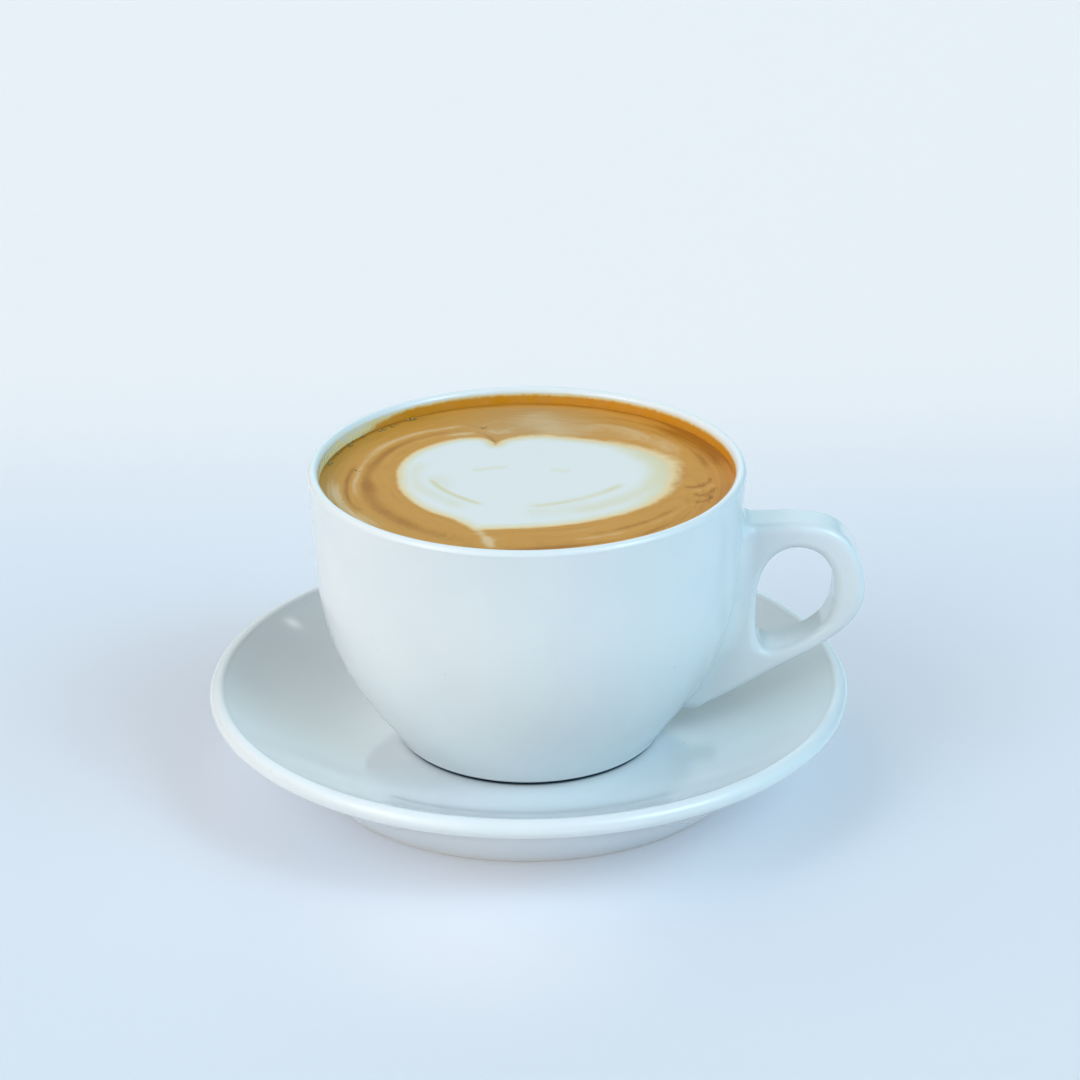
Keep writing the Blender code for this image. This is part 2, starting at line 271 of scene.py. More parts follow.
def distance_to_line(points: np.ndarray, line: np.ndarray) -> tuple[np.ndarray, np.ndarray]:
    """Return how far points lie from a line of straight spans, seen from above, and beside what.

    Args:
        points: Array of (x, y).
        line: Array of the line's corners.

    Returns:
        One distance for each point, and how far along the line its nearest place is, from 0 to 1.
    """
    best = np.full(len(points), np.inf)
    along = np.zeros(len(points))
    spans = len(line) - 1
    for i in range(spans):
        start, span = line[i], line[i + 1] - line[i]
        share = np.clip(((points - start) @ span) / max(span @ span, NEARLY_ZERO), 0.0, 1.0)
        away = points - start - share[:, None] * span
        squared = np.einsum("ij,ij->i", away, away)
        nearer = squared < best
        best = np.where(nearer, squared, best)
        along = np.where(nearer, (i + share) / spans, along)
    return np.sqrt(best), along


def is_inside(points: np.ndarray, outline: np.ndarray) -> np.ndarray:
    """Return, for each point, whether it lies inside a closed outline.

    Args:
        points: Array of (x, y).
        outline: Array of the outline's corners, in order.

    Returns:
        One truth value for each point.
    """
    inside = np.zeros(len(points), bool)
    x, y = points[:, 0], points[:, 1]
    for (x0, y0), (x1, y1) in zip(outline, np.roll(outline, -1, axis=0)):
        if y0 == y1:
            continue
        crosses = (y0 > y) != (y1 > y)
        inside ^= crosses & (x < (x1 - x0) * (y - y0) / (y1 - y0) + x0)
    return inside


def settle(piece: bpy.types.Object, axis_x: float) -> None:
    """Move a piece that was modelled about the Z axis to the shared axis, in its mesh.

    Args:
        piece: Object that is moved.
        axis_x: Place of the shared axis along X.
    """
    select_only(piece)
    piece.location.x += axis_x
    bpy.ops.object.transform_apply(location=True, rotation=True, scale=True)


class NodeSheet:
    """Short ways to place and join the nodes of one node tree."""

    def __init__(self, tree: bpy.types.NodeTree) -> None:
        """Keep the tree that nodes are placed in."""
        self.tree = tree

    def place(self, kind: str, inputs: dict, **settings: object) -> bpy.types.Node:
        """Place a node.

        Args:
            kind: Blender's name for the node.
            inputs: Values or output sockets for its input sockets, by name or number.
            settings: Values for its properties.

        Returns:
            The new node.
        """
        node = self.tree.nodes.new(kind)
        for key, value in settings.items():
            setattr(node, key, value)
        for key, value in inputs.items():
            if isinstance(value, Socket):
                self.tree.links.new(value, node.inputs[key])
            else:
                node.inputs[key].default_value = value
        return node

    def maths(self, operation: str, *values: Socket | float) -> Socket:
        """Return the result of a Math node on one to three values."""
        node = self.place("ShaderNodeMath", dict(enumerate(values)), operation=operation)
        return node.outputs[0]

    def mix(self, share: Socket, first: Socket | Colour, second: Socket | Colour) -> Socket:
        """Mix two colours.

        Args:
            share: Share of the second colour.
            first: Colour or socket at a share of 0.
            second: Colour or socket at a share of 1.

        Returns:
            The mixed colour.
        """
        first, second = (value if isinstance(value, Socket) else (*value, 1.0)
                         for value in (first, second))
        node = self.place("ShaderNodeMix", {0: share, 6: first, 7: second}, data_type="RGBA")
        return node.outputs[2]

    def step(self, value: Socket, low: float, high: float, start: Socket | float = 0.0,
             end: Socket | float = 1.0) -> Socket:
        """Return a smooth step of a value between two limits.

        Args:
            value: Socket that is read.
            low: Where the step begins.
            high: Where it ends.
            start: Result below the step.
            end: Result above it.

        Returns:
            The stepped value.
        """
        inputs = {"Value": value, "From Min": low, "From Max": high, "To Min": start, "To Max": end}
        node = self.place("ShaderNodeMapRange", inputs, interpolation_type="SMOOTHSTEP")
        return node.outputs["Result"]

    def noise(self, vector: Socket, scale: Socket | float, detail: float = 2.0) -> Socket:
        """Return noise of about so many waves a metre."""
        inputs = {"Vector": vector, "Scale": scale, "Detail": detail}
        return self.place("ShaderNodeTexNoise", inputs).outputs["Fac"]

    def attribute(self, name: str, output: str = "Fac") -> Socket:
        """Return an attribute of the piece."""
        return self.place("ShaderNodeAttribute", {}, attribute_name=name).outputs[output]

    def sway(self, value: Socket, noise: Socket, depth: float) -> Socket:
        """Return a value that noise moves up and down, over a range of about a depth."""
        return self.maths("MULTIPLY_ADD", self.maths("SUBTRACT", noise, 0.5), depth, value)

    def vector_maths(self, operation: str, inputs: dict, output: str = "Vector") -> Socket:
        """Return the vector, or else the value, of a Vector Math node."""
        node = self.place("ShaderNodeVectorMath", inputs, operation=operation)
        return node.outputs[output]

    def object_place(self) -> Socket:
        """Return the place on the piece, in metres."""
        return self.place("ShaderNodeTexCoord", {}).outputs["Object"]

    def dress(self, shader: bpy.types.Node, colour: Socket, roughness: Socket, height: Socket,
              depth: float) -> None:
        """Give a shader its colour, its roughness and a bump.

        Args:
            shader: The Principled shader.
            colour: Socket of its colour.
            roughness: Socket of its roughness.
            height: Socket of the bump's height, from 0 to about 1.
            depth: Height of the bump, in metres.
        """
        inputs = {"Height": height, "Strength": 1.0, "Distance": depth}
        bump = self.place("ShaderNodeBump", inputs).outputs["Normal"]
        for name, value in (("Base Color", colour), ("Roughness", roughness), ("Normal", bump)):
            self.tree.links.new(value, shader.inputs[name])


def new_material(name: str) -> tuple[bpy.types.Material, NodeSheet, bpy.types.Node]:
    """Make a material that has only its Principled shader.

    Args:
        name: Name of the material.

    Returns:
        The material, its node sheet and the shader.
    """
    material = bpy.data.materials.new(name)
    material.use_nodes = True
    return material, NodeSheet(material.node_tree), material.node_tree.nodes["Principled BSDF"]


def glaze_group() -> bpy.types.NodeTree:
    """Return the node group of fired glaze: its clouding, its pitted flecks and its faint ripple.

    Returns:
        A group with inputs Place, Cloud Waves, Fleck Waves and Ripple Waves, and outputs Cloud,
        Fleck and Height.
    """
    known = bpy.data.node_groups.get("fired_glaze")
    if known:
        return known
    group = bpy.data.node_groups.new("fired_glaze", "ShaderNodeTree")
    group.interface.new_socket("Place", in_out="INPUT", socket_type="NodeSocketVector")
    for name in ("Cloud Waves", "Fleck Waves", "Ripple Waves"):
        group.interface.new_socket(name, in_out="INPUT", socket_type="NodeSocketFloat")
    for name in ("Cloud", "Fleck", "Height"):
        group.interface.new_socket(name, in_out="OUTPUT", socket_type="NodeSocketFloat")
    fleck_edge = (0.022, 0.036)         # how far a fleck reaches from its cell's middle, in cells
    pit_depth = 0.6                     # of the ripple's height
    sheet = NodeSheet(group)
    given = sheet.place("NodeGroupInput", {}).outputs
    cloud = sheet.noise(given["Place"], given["Cloud Waves"], 3.0)
    cell = sheet.place("ShaderNodeTexVoronoi",
                       {"Vector": given["Place"], "Scale": given["Fleck Waves"]})
    fleck = sheet.step(cell.outputs["Distance"], *fleck_edge, 1.0, 0.0)
    ripple = sheet.noise(given["Place"], given["Ripple Waves"], 1.0)
    height = sheet.maths("MULTIPLY_ADD", fleck, -pit_depth, ripple)
    sheet.place("NodeGroupOutput", {"Cloud": cloud, "Fleck": fleck, "Height": height})
    return group


@dataclass(frozen=True)
class GlazeFinish:
    """White glazed porcelain, with the bare ring that stood in the kiln."""

    colour: Colour = paint(223, 229, 232)
    cloud_colour: Colour = paint(220, 227, 231)     # in patches a little duller and less glossy
    fleck_colour: Colour = paint(150, 158, 156)
    bare_colour: Colour = paint(214, 210, 200)
    # painted shade: dark colour laid in the crease where the cup's foot stands on the saucer
    crease_shade_colour: Colour = paint(56, 88, 108)
    stain_colour: Colour = paint(208, 142, 18)
    stain_foot_colour: Colour = paint(150, 92, 12)
    stain_edge_colour: Colour = paint(230, 222, 164)
    roughness: float = 0.08
    bare_roughness: float = 0.75
    cloud_waves: float = 55.0           # a metre
    cloud_span: Span = (0.35, 0.70)     # noise over which the clouding comes up
    fleck_waves: float = 150.0
    ripple_waves: float = 70.0
    ripple_depth: float = 0.02 * MM
    bare_height: float = 0.35 * MM
    fleck_share: float = 0.7
    ragged_waves: float = 700.0         # along the stain's edge
    ragged_depth: float = 0.9           # in millimetres
    film_span: Span = (-0.15, 0.30)     # how far below its edge the stain covers the glaze
    tint_span: Span = (0.1, 0.9)        # and where it turns from its edge's colour to its own
    foot_span: Span = (1.4, 3.4)        # and then to its foot's
    streak_waves: float = 260.0
    streak_span: Span = (0.35, 0.7)
    streak_least: float = 0.97          # how much the stain covers between its streaks
    stain_roughness: float = 0.3
    cloudy_gloss: float = 1.5           # times as rough as clear glaze
    refraction: float = 1.5

    def material(self, name: str, stained: bool = False) -> bpy.types.Material:
        """Make the glaze.

        Args:
            name: Name of the material.
            stained: Whether the piece has a stain attribute, which is positive under dried crema.

        Returns:
            The material.
        """
        material, sheet, shader = new_material(name)
        place = sheet.object_place()
        glaze = sheet.place("ShaderNodeGroup", {}, node_tree=glaze_group())
        sheet.tree.links.new(place, glaze.inputs["Place"])
        glaze.inputs["Cloud Waves"].default_value = self.cloud_waves
        glaze.inputs["Fleck Waves"].default_value = self.fleck_waves
        glaze.inputs["Ripple Waves"].default_value = self.ripple_waves
        cloud = sheet.step(glaze.outputs["Cloud"], *self.cloud_span)
        colour = sheet.mix(cloud, self.colour, self.cloud_colour)
        fleck = sheet.maths("MULTIPLY", glaze.outputs["Fleck"], self.fleck_share)
        colour = sheet.mix(fleck, colour, self.fleck_colour)
        height = sheet.place("ShaderNodeSeparateXYZ", {0: place}).outputs["Z"]
        bare = sheet.step(height, self.bare_height, 2 * self.bare_height, 1.0, 0.0)
        colour = sheet.mix(bare, colour, self.bare_colour)
        # painted shade in the crease round the cup's foot
        colour = sheet.mix(sheet.attribute("crease_shade"), colour, self.crease_shade_colour)
        gloss = sheet.step(cloud, 0.0, 1.0, self.roughness, self.roughness * self.cloudy_gloss)
        roughness = sheet.step(bare, 0.0, 1.0, gloss, self.bare_roughness)
        if stained:
            colour, roughness = self.add_stain(sheet, place, colour, roughness)
        sheet.dress(shader, colour, roughness, glaze.outputs["Height"], self.ripple_depth)
        shader.inputs["IOR"].default_value = self.refraction
        return material

    def add_stain(self, sheet: NodeSheet, place: Socket, colour: Socket,
                  roughness: Socket) -> tuple[Socket, Socket]:
        """Lay dried crema over the glaze where the stain attribute is positive.

        Args:
            sheet: Node sheet of the material.
            place: Place on the piece.
            colour: Colour of the glaze.
            roughness: Roughness of the glaze.

        Returns:
            The colour and the roughness with the stain on them.
        """
        ragged = sheet.noise(place, self.ragged_waves, 3.0)
        depth = sheet.sway(sheet.attribute("stain"), ragged, self.ragged_depth)
        film = sheet.step(depth, *self.film_span)
        full = sheet.step(depth, *self.tint_span)
        tint = sheet.mix(full, self.stain_edge_colour, self.stain_colour)
        tint = sheet.mix(sheet.step(depth, *self.foot_span), tint, self.stain_foot_colour)
        streaks = sheet.noise(place, self.streak_waves, 3.0)
        cover = sheet.step(streaks, *self.streak_span, self.streak_least, 1.0)
        share = sheet.maths("MULTIPLY", film, cover)
        roughness = sheet.step(share, 0.0, 1.0, roughness, self.stain_roughness)
        return sheet.mix(share, colour, tint), roughness


@dataclass(frozen=True)
class DrinkFinish:
    """Crema and milk foam of the drink's surface."""

    dark: Colour = paint(164, 105, 20)
    middle: Colour = paint(198, 141, 56)
    # painted light: a greyer tint on the crema's far side, which offsets the warm light bounced from the
    # back wall
    far_light_tint: Colour = paint(176, 153, 116)
    pale: Colour = paint(216, 183, 136)
    cream: Colour = paint(227, 201, 152)
    foam_edge: Colour = paint(219, 214, 192)
    foam: Colour = paint(222, 224, 223)
    foam_line: Colour = paint(212, 204, 166)
    roughness: float = 0.45
    foam_roughness: float = 0.5
    specular: float = 0.2
    fine_waves: float = 1500.0
    broad_waves: float = 90.0
    ragged_waves: float = 420.0         # along the heart's edge
    ragged_depth: float = 0.8           # in widths of its soft fringe
    drawn_depth: float = 0.9            # how far the swirl's streaks draw the edge out
    cream_span: Span = (-1.0, 0.15)     # where crema turns to cream, in fringes inside the edge
    edge_span: Span = (0.0, 1.0)        # where that turns to the foam's edge
    foam_span: Span = (0.7, 2.6)        # and that to foam
    patch_span: Span = (0.3, 0.6)       # broad noise that makes the foam's lines patchy
    patch_least: float = 0.6
    pore_waves: float = 1800.0
    pore_span: Span = (0.12, 0.30)      # how far a pore reaches from its cell's middle, in cells
    grain_waves: float = 2.7            # to one of the streaks'
    streak_depth: float = 0.58          # over how much of the tone each noise swings
    grain_depth: float = 0.36
    broad_depth: float = 0.16
    fine_depth: float = 0.14
    pore_depth: float = 0.10            # how much darker a pore is
    pore_pit: float = 0.35              # and how deep, of the grain's height
    grain_height: float = 0.03 * MM

    def material(self, name: str) -> bpy.types.Material:
        """Make the material, which reads the attributes tone, foam, veil and flow, and the painted light
        tint of the far side.

        Args:
            name: Name of the material.

        Returns:
            The material.
        """
        material, sheet, shader = new_material(name)
        place = sheet.object_place()
        flow = sheet.attribute("flow", "Vector")
        fine = sheet.noise(place, self.fine_waves, 2.0)
        streaks = sheet.noise(flow, 1.0, 4.0)
        grains = sheet.noise(flow, self.grain_waves, 3.0)
        broad = sheet.noise(place, self.broad_waves, 3.0)
        tone = sheet.attribute("tone")
        for value, depth in ((streaks, self.streak_depth), (grains, self.grain_depth),
                             (broad, self.broad_depth), (fine, self.fine_depth)):
            tone = sheet.sway(tone, value, depth)
        cell = sheet.place("ShaderNodeTexVoronoi", {"Vector": place, "Scale": self.pore_waves})
        pores = sheet.step(cell.outputs["Distance"], *self.pore_span, 1.0, 0.0)
        tone = sheet.maths("MULTIPLY_ADD", pores, -self.pore_depth, tone)
        crema = sheet.mix(sheet.step(tone, 0.0, 0.5), self.dark, self.middle)
        crema = sheet.mix(sheet.step(tone, 0.5, 1.0), crema, self.pale)
        # painted light: greys the crema's far side
        crema = sheet.mix(sheet.attribute("far_light_tint"), crema, self.far_light_tint)
        ragged = sheet.noise(place, self.ragged_waves, 3.0)
        foam = sheet.sway(sheet.attribute("foam"), ragged, self.ragged_depth)
        foam = sheet.sway(foam, streaks, self.drawn_depth)
        colour = sheet.mix(sheet.step(foam, *self.cream_span), crema, self.cream)
        colour = sheet.mix(sheet.step(foam, *self.edge_span), colour, self.foam_edge)
        colour = sheet.mix(sheet.step(foam, *self.foam_span), colour, self.foam)
        patchy = sheet.step(broad, *self.patch_span, self.patch_least, 1.0)
        veil = sheet.maths("MULTIPLY", sheet.attribute("veil"), patchy)
        colour = sheet.mix(veil, colour, self.foam_line)
        grain = sheet.maths("MULTIPLY_ADD", pores, -self.pore_pit, fine)
        rough = sheet.step(foam, 0.0, 1.0, self.roughness, self.foam_roughness)
        sheet.dress(shader, colour, rough, grain, self.grain_height)
        shader.inputs["Specular IOR Level"].default_value = self.specular
        return material


@dataclass(frozen=True)
class BubbleFinish:
    """Thin brown film of the crema's larger bubbles."""

    colour: Colour = paint(172, 136, 68)
    rim_colour: Colour = paint(132, 100, 44)
    roughness: float = 0.18
    crown_span: Span = (0.05, 0.7)      # height over which the rim's colour gives way
    speckle_waves: float = 2500.0
    speckle_span: Span = (0.3, 0.7)
    speckle_depth: float = 0.15

    def material(self, name: str) -> bpy.types.Material:
        """Make the film, darker round a bubble's foot.

        Args:
            name: Name of the material.

        Returns:
            The material, which reads the attribute crown.
        """
        material, sheet, shader = new_material(name)
        grain = sheet.noise(sheet.object_place(), self.speckle_waves)
        speckle = sheet.step(grain, *self.speckle_span, -self.speckle_depth, self.speckle_depth)
        share = sheet.maths("ADD", sheet.attribute("crown"), speckle)
        colour = sheet.mix(sheet.step(share, *self.crown_span), self.rim_colour, self.colour)
        sheet.tree.links.new(colour, shader.inputs["Base Color"])
        shader.inputs["Roughness"].default_value = self.roughness
        return material


@dataclass(frozen=True)
class Places:
    """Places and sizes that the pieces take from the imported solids."""

    axis_x: float
    saucer_radius: float
    saucer_height: float
    cup_foot: float
    cup_rim: float
    drink_level: float

    @classmethod
    def read(cls) -> Places:
        """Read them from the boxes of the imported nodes.

        Returns:
            The places and sizes, in metres.
        """
        saucer, cup, coffee = (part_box(node) for node in ("saucer", "cup", "coffee"))
        return cls(
            axis_x=(coffee[0].x + coffee[1].x) / 2,
            saucer_radius=(saucer[1].y - saucer[0].y) / 2,
            saucer_height=saucer[1].z,
            cup_foot=cup[0].z,
            cup_rim=cup[1].z,
            drink_level=coffee[1].z,
        )


@dataclass
class Saucer:
    """Round dished saucer with a rolled lip and a foot ring."""

    places: Places
    finish: GlazeFinish
    lip_round: float = 2.2 * MM
    lip_inner_deg: float = 130.0        # where the rolled edge meets the dish
    lip_outer_deg: float = -45.0        # and where it meets the underside
    well_radius: float = 34.0 * MM
    well_height: float = 9.3 * MM
    dish_power: float = 1.65            # how late the dish rises towards its lip
    foot_radius: float = 51.0 * MM
    foot_width: float = 4.4 * MM
    foot_round: float = 0.7 * MM
    foot_arc_deg: Span = (-20.0, -90.0)
    foot_chamfer: float = 0.9 * MM
    foot_slope: float = 3.2 * MM
    under_hollow: float = 0.7 * MM
    recess_height: float = 4.0 * MM
    crease_shade_radius: float = 29.9 * MM    # painted shade darkens the well under the cup's edge
    crease_shade_fade: float = 0.9 * MM
    turn_steps: int = 288
    well_steps: int = 60
    dish_steps: int = 72
    foot_steps: int = 6
    lip_steps: int = 28
    under_steps: int = 30

    def dish(self, end: Point) -> list[Point]:
        """Draw the dish's section.

        Args:
            end: Where the dish meets the rolled lip.

        Returns:
            Points from the edge of the well to just before that end.
        """
        shares = np.linspace(0.0, 1.0, self.dish_steps, endpoint=False)
        radii = self.well_radius + (end[0] - self.well_radius) * shares
        heights = self.well_height + (end[1] - self.well_height) * shares ** self.dish_power
        return list(zip(radii, heights))

    def underside(self, start: Point, end: Point) -> list[Point]:
        """Draw the underside's section, a slightly hollowed cone.

        Args:
            start: End of the rolled lip.
            end: Start of the foot.

        Returns:
            Points between the two ends, without them.
        """
        first, last = Vector(start), Vector(end)
        slope = (first - last).normalized()
        points = []
        for share in np.linspace(0.0, 1.0, self.under_steps + 1)[1:-1]:
            hollow = self.under_hollow * math.sin(math.pi * share)
            point = first.lerp(last, share)
            points.append((point.x - hollow * slope.y, point.y + hollow * slope.x))
        return points

    def section(self) -> list[Point]:
        """Draw the saucer's section.

        Returns:
            Points from the middle of its well over the lip to the hollow below the well.
        """
        centre = (self.places.saucer_radius - self.lip_round,
                  self.places.saucer_height - self.lip_round)
        lip = arc(centre, self.lip_round, self.lip_inner_deg, self.lip_outer_deg, self.lip_steps)
        foot_centre = (self.foot_radius - self.foot_round, self.foot_round)
        foot = arc(foot_centre, self.foot_round, *self.foot_arc_deg, self.foot_steps)
        ring = self.foot_radius - self.foot_width
        shoulder = ring - self.foot_chamfer
        hollow = [(ring, 0.0), (shoulder, self.foot_chamfer),
                  (shoulder - self.foot_slope, self.recess_height), (0.0, self.recess_height)]
        shares = np.linspace(0.0, 1.0, self.well_steps)
        well = [(self.well_radius * s, self.well_height) for s in shares[:-1]]
        return well + self.dish(lip[0]) + lip + self.underside(lip[-1], foot[0]) + foot + hollow

    def build(self) -> bpy.types.Object:
        """Turn the saucer, glaze it and put it in place of its solid.

        Returns:
            The finished piece.
        """
        piece = turned_piece("saucer_china", self.section(), self.turn_steps)
        points = read_points(piece)
        radius = reach_from_axis(points)
        # painted shade: the well is darkened inside the cup's edge, where the cup shades it
        shaded_share = 1.0 - ease((radius - self.crease_shade_radius) / self.crease_shade_fade)
        write_attribute(piece, "crease_shade", shaded_share * (points[:, 2] > self.recess_height + MM))
        settle(piece, self.places.axis_x)
        piece.data.materials.append(self.finish.material("saucer_glaze"))
        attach(piece, "root")
        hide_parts("saucer")
        return piece


@dataclass
class Wall:
    """Inner and outer surface of the cup's bowl."""

    places: Places
    belly_height: float = 10.8 * MM     # where the curved wall turns in to the foot
    belly_radius: float = 31.5 * MM
    wall_radius: float = 50.4 * MM
    wall_flare: float = 0.9 * MM        # how much the wall opens out towards the lip
    flare_start: float = 0.70           # share of its height from which it does
    belly_power: float = 3.77           # the higher, the sooner the wall stands upright
    belly_ease: float = 1.245           # the higher, the more gently it leaves the foot
    floor_height: float = 16.0 * MM
    floor_radius: float = 24.0 * MM
    bore_radius: float = 45.6 * MM
    bore_flare: float = 3.1 * MM
    bore_flare_start: float = 0.45
    bore_power: float = 4.2

    def share_of_height(self, height: np.ndarray | float, start: float) -> np.ndarray:
        """Return how far a height lies from a start, at 0, to the cup's rim, at 1."""
        return np.clip((np.asarray(height) - start) / (self.places.cup_rim - start), 0.0, 1.0)

    def outer(self, height: np.ndarray | float) -> np.ndarray:
        """Give the radius of the outside.

        Args:
            height: One height or several.

        Returns:
            The radius at each.
        """
        share = self.share_of_height(height, self.belly_height)
        past = np.clip((share - self.flare_start) / (1 - self.flare_start), 0, 1)
        flare = self.wall_flare * past ** 2
        belly = (1.0 - (1.0 - share) ** self.belly_power) ** self.belly_ease
        return self.belly_radius + (self.wall_radius - self.belly_radius) * belly + flare

    def inner(self, height: np.ndarray | float) -> np.ndarray:
        """Give the radius of the inside.

        Args:
            height: One height or several.

        Returns:
            The radius at each.
        """
        share = self.share_of_height(height, self.floor_height)
        past = (share - self.bore_flare_start) / (1 - self.bore_flare_start)
        flare = self.bore_flare * ease(past)
        belly = 1.0 - (1.0 - share) ** self.bore_power
        return self.floor_radius + (self.bore_radius - self.floor_radius) * belly + flare

    def clearance(self, points: np.ndarray) -> tuple[np.ndarray, np.ndarray]:
        """Return how far points lie outside the wall, and the wall's normal beside them.

        Args:
            points: Array of (x, y, z) about the cup's axis.

        Returns:
            Distances, negative inside the porcelain, and unit normals.
        """
        radius = reach_from_axis(points)
        nudge = 0.05 * MM               # step over which the wall's lean is taken
        lean = (self.outer(points[:, 2] + nudge) - self.outer(points[:, 2] - nudge)) / (2 * nudge)
        upright = 1.0 / np.sqrt(1.0 + lean * lean)
        normals = np.column_stack([points[:, 0] / radius, points[:, 1] / radius, -lean])
        normals *= upright[:, None]
        return (radius - self.outer(points[:, 2])) * upright, normals


@dataclass
class Handle:
    """Flat strap looped round a finger hole, flowing into the wall through a fillet."""

    wall: Wall
    outline: tuple[Point, ...] = (      # from the side, as (x, z) in millimetres
        (49.0, 63.5), (57.0, 63.7), (65.0, 63.6), (72.0, 61.8), (76.7, 57.0), (78.97, 50.2),
        (78.87, 43.4), (75.8, 37.9), (70.0, 33.3), (60.0, 27.7), (50.0, 22.2), (40.0, 16.7),
    )
    hole: tuple[Point, ...] = (
        (63.2, 57.6), (67.5, 56.5), (70.6, 53.3), (72.0, 48.6), (71.7, 43.0), (69.5, 38.0),
        (65.2, 34.3), (60.5, 32.4), (57.0, 31.9), (54.6, 33.3), (53.7, 37.8), (53.7, 44.0),
        (54.4, 49.3), (56.4, 53.8), (59.4, 56.6),
    )
    centre: Point = (62.2 * MM, 45.2 * MM)
    bite: float = 2.6 * MM              # how far the strap is sunk into the wall
    half_width: float = 5.8 * MM
    root_half_width: float = 7.4 * MM   # where the lower arm joins the wall
    arm_end: float = 69.0 * MM
    root_height: float = 31.9 * MM
    edge_round: float = 2.1 * MM
    rounded_share: float = 0.47         # of a narrow strap's width that each edge may take
    sunk_share: float = 0.08            # of the rounding that is left deep in the wall
    least_slant: float = 0.3            # sine under which a slanting cut's rounding stops growing
    side_fillet: float = 4.6 * MM       # where the strap's sides flow into the wall
    inner_fillet: float = 2.2 * MM      # where its inner and outer face do
    low_fillet: float = 2.8 * MM        # where the sides of the lower arm do
    low_arm: Span = (24.0 * MM, 36.0 * MM)      # heights over which one becomes the other
    fillet_facing: Span = (0.2, 0.6)    # it fades as the skin turns the way that the wall faces
    fillet_left: float = 0.02           # share of it that is left there
    bent_facing: Span = (-0.2, 0.985)   # skin that faces beyond these isn't bent
    skirt: float = 1.8 * MM             # how far the fillet's edge runs on along the wall
    skirt_rise: float = 0.012 * MM      # how far the skirt starts above the wall
    skirt_dip: float = 0.05 * MM        # and how much it sinks on its way
    ring: float = 10.0 * MM             # size of the torus that the strap is made from
    tube: float = 2.0 * MM
    stations: int = 300
    corner_steps: int = 8
    side_steps: int = 48
    face_steps: int = 14
    per_span: int = 10

    def outlines(self) -> tuple[np.ndarray, np.ndarray]:
        """Draw the strap from the side.

        Returns:
            The outer outline, closed inside the wall, and the hole's.
        """
        outer = smooth_curve(self.outline, self.per_span) * MM
        heights = np.linspace(outer[-1, 1], outer[0, 1], 4 * self.per_span)
        sunk = np.column_stack([self.wall.outer(heights) - self.bite, heights])
        return np.vstack([outer, sunk]), smooth_curve(self.hole, self.per_span, closed=True) * MM

    def reach(self, ray: np.ndarray, outline: np.ndarray) -> tuple[float, float]:
        """Follow a ray from the hole's centre to where it last meets an outline.

        Args:
            ray: Unit vector as (x, z).
            outline: The outline's corners.

        Returns:
            The distance, and the sine of the angle between the ray and the outline.
        """
        start = outline - np.array(self.centre)
        side = np.roll(start, -1, axis=0) - start
        cross = ray[0] * side[:, 1] - ray[1] * side[:, 0]
        cross = np.where(np.abs(cross) < NEARLY_ZERO, NEARLY_ZERO, cross)
        distance = (start[:, 0] * side[:, 1] - start[:, 1] * side[:, 0]) / cross
        share = (start[:, 0] * ray[1] - start[:, 1] * ray[0]) / cross
        distance = np.where((share >= 0.0) & (share <= 1.0), distance, -1.0)
        hit = int(distance.argmax())
        return float(distance[hit]), float(abs(cross[hit]) / np.linalg.norm(side[hit]))

    def breadth(self, x: float, z: float) -> float:
        """Give the strap's half width, which grows where the lower arm nears the wall.

        Args:
            x: How far from the cup's axis.
            z: How high.

        Returns:
            The half width.
        """
        inwards = (self.arm_end - x) / (self.arm_end - self.wall.wall_radius)
        downwards = (self.centre[1] - z) / (self.centre[1] - self.root_height)
        share = min(max(inwards, 0.0), 1.0) * min(max(downwards, 0.0), 1.0)
        return self.half_width + (self.root_half_width - self.half_width) * share

    def section(self, turn: float, outlines: tuple[np.ndarray, np.ndarray]) -> list[Vector]:
        """Return the strap's rounded section on one ray from the hole's centre.

        Args:
            turn: The ray's angle from +X towards +Z.
            outlines: The outer outline and the hole's.

        Returns:
            Places round the section, from the middle of the outer face past the side at +Y.
        """
        ray = np.array([math.cos(turn), math.sin(turn)])
        (far, far_slant), (near, near_slant) = (self.reach(ray, outline) for outline in outlines)
        run_far = self.edge_round / max(far_slant, self.least_slant)
        run_near = self.edge_round / max(near_slant, self.least_slant)
        end = np.array([[self.centre[0] + ray[0] * far, 0.0, self.centre[1] + ray[1] * far]])
        outside = float(self.wall.clearance(end)[0][0])
        run_far *= self.sunk_share + (1 - self.sunk_share) * float(ease(1.0 + outside / self.bite))
        room = min(1.0, 2 * self.rounded_share * (far - near) / (run_far + run_near))
        run_far, run_near, drop = run_far * room, run_near * room, self.edge_round * room
        # Each pair is a distance along the ray and a step across the strap: from 0 in its middle
        # over 1, where the rounding starts, to 2 at its side.
        half = [(far, s) for s in np.linspace(0.0, 1.0, self.face_steps // 2 + 1)[:-1]]
        corner = np.linspace(0.0, math.pi / 2, self.corner_steps + 1)
        half += [(far - run_far * (1 - math.cos(c)), 1.0 + math.sin(c)) for c in corner[:-1]]
        flank = np.linspace(far - run_far, near + run_near, self.side_steps + 1)
        half += [(r, 2.0) for r in flank[:-1]]
        half += [(near + run_near * (1 - math.sin(c)), 1.0 + math.cos(c)) for c in corner[:-1]]
        half += [(near, s) for s in np.linspace(1.0, 0.0, self.face_steps // 2 + 1)]
        places = []
        for distance, across in half:
            x, z = np.array(self.centre) + ray * distance
            flat = self.breadth(x, z) - drop
            y = across * flat if across < 1.0 else flat + (across - 1.0) * drop
            places.append(Vector((x, y, z)))
        return places + [Vector((p.x, -p.y, p.z)) for p in places[-2:0:-1]]

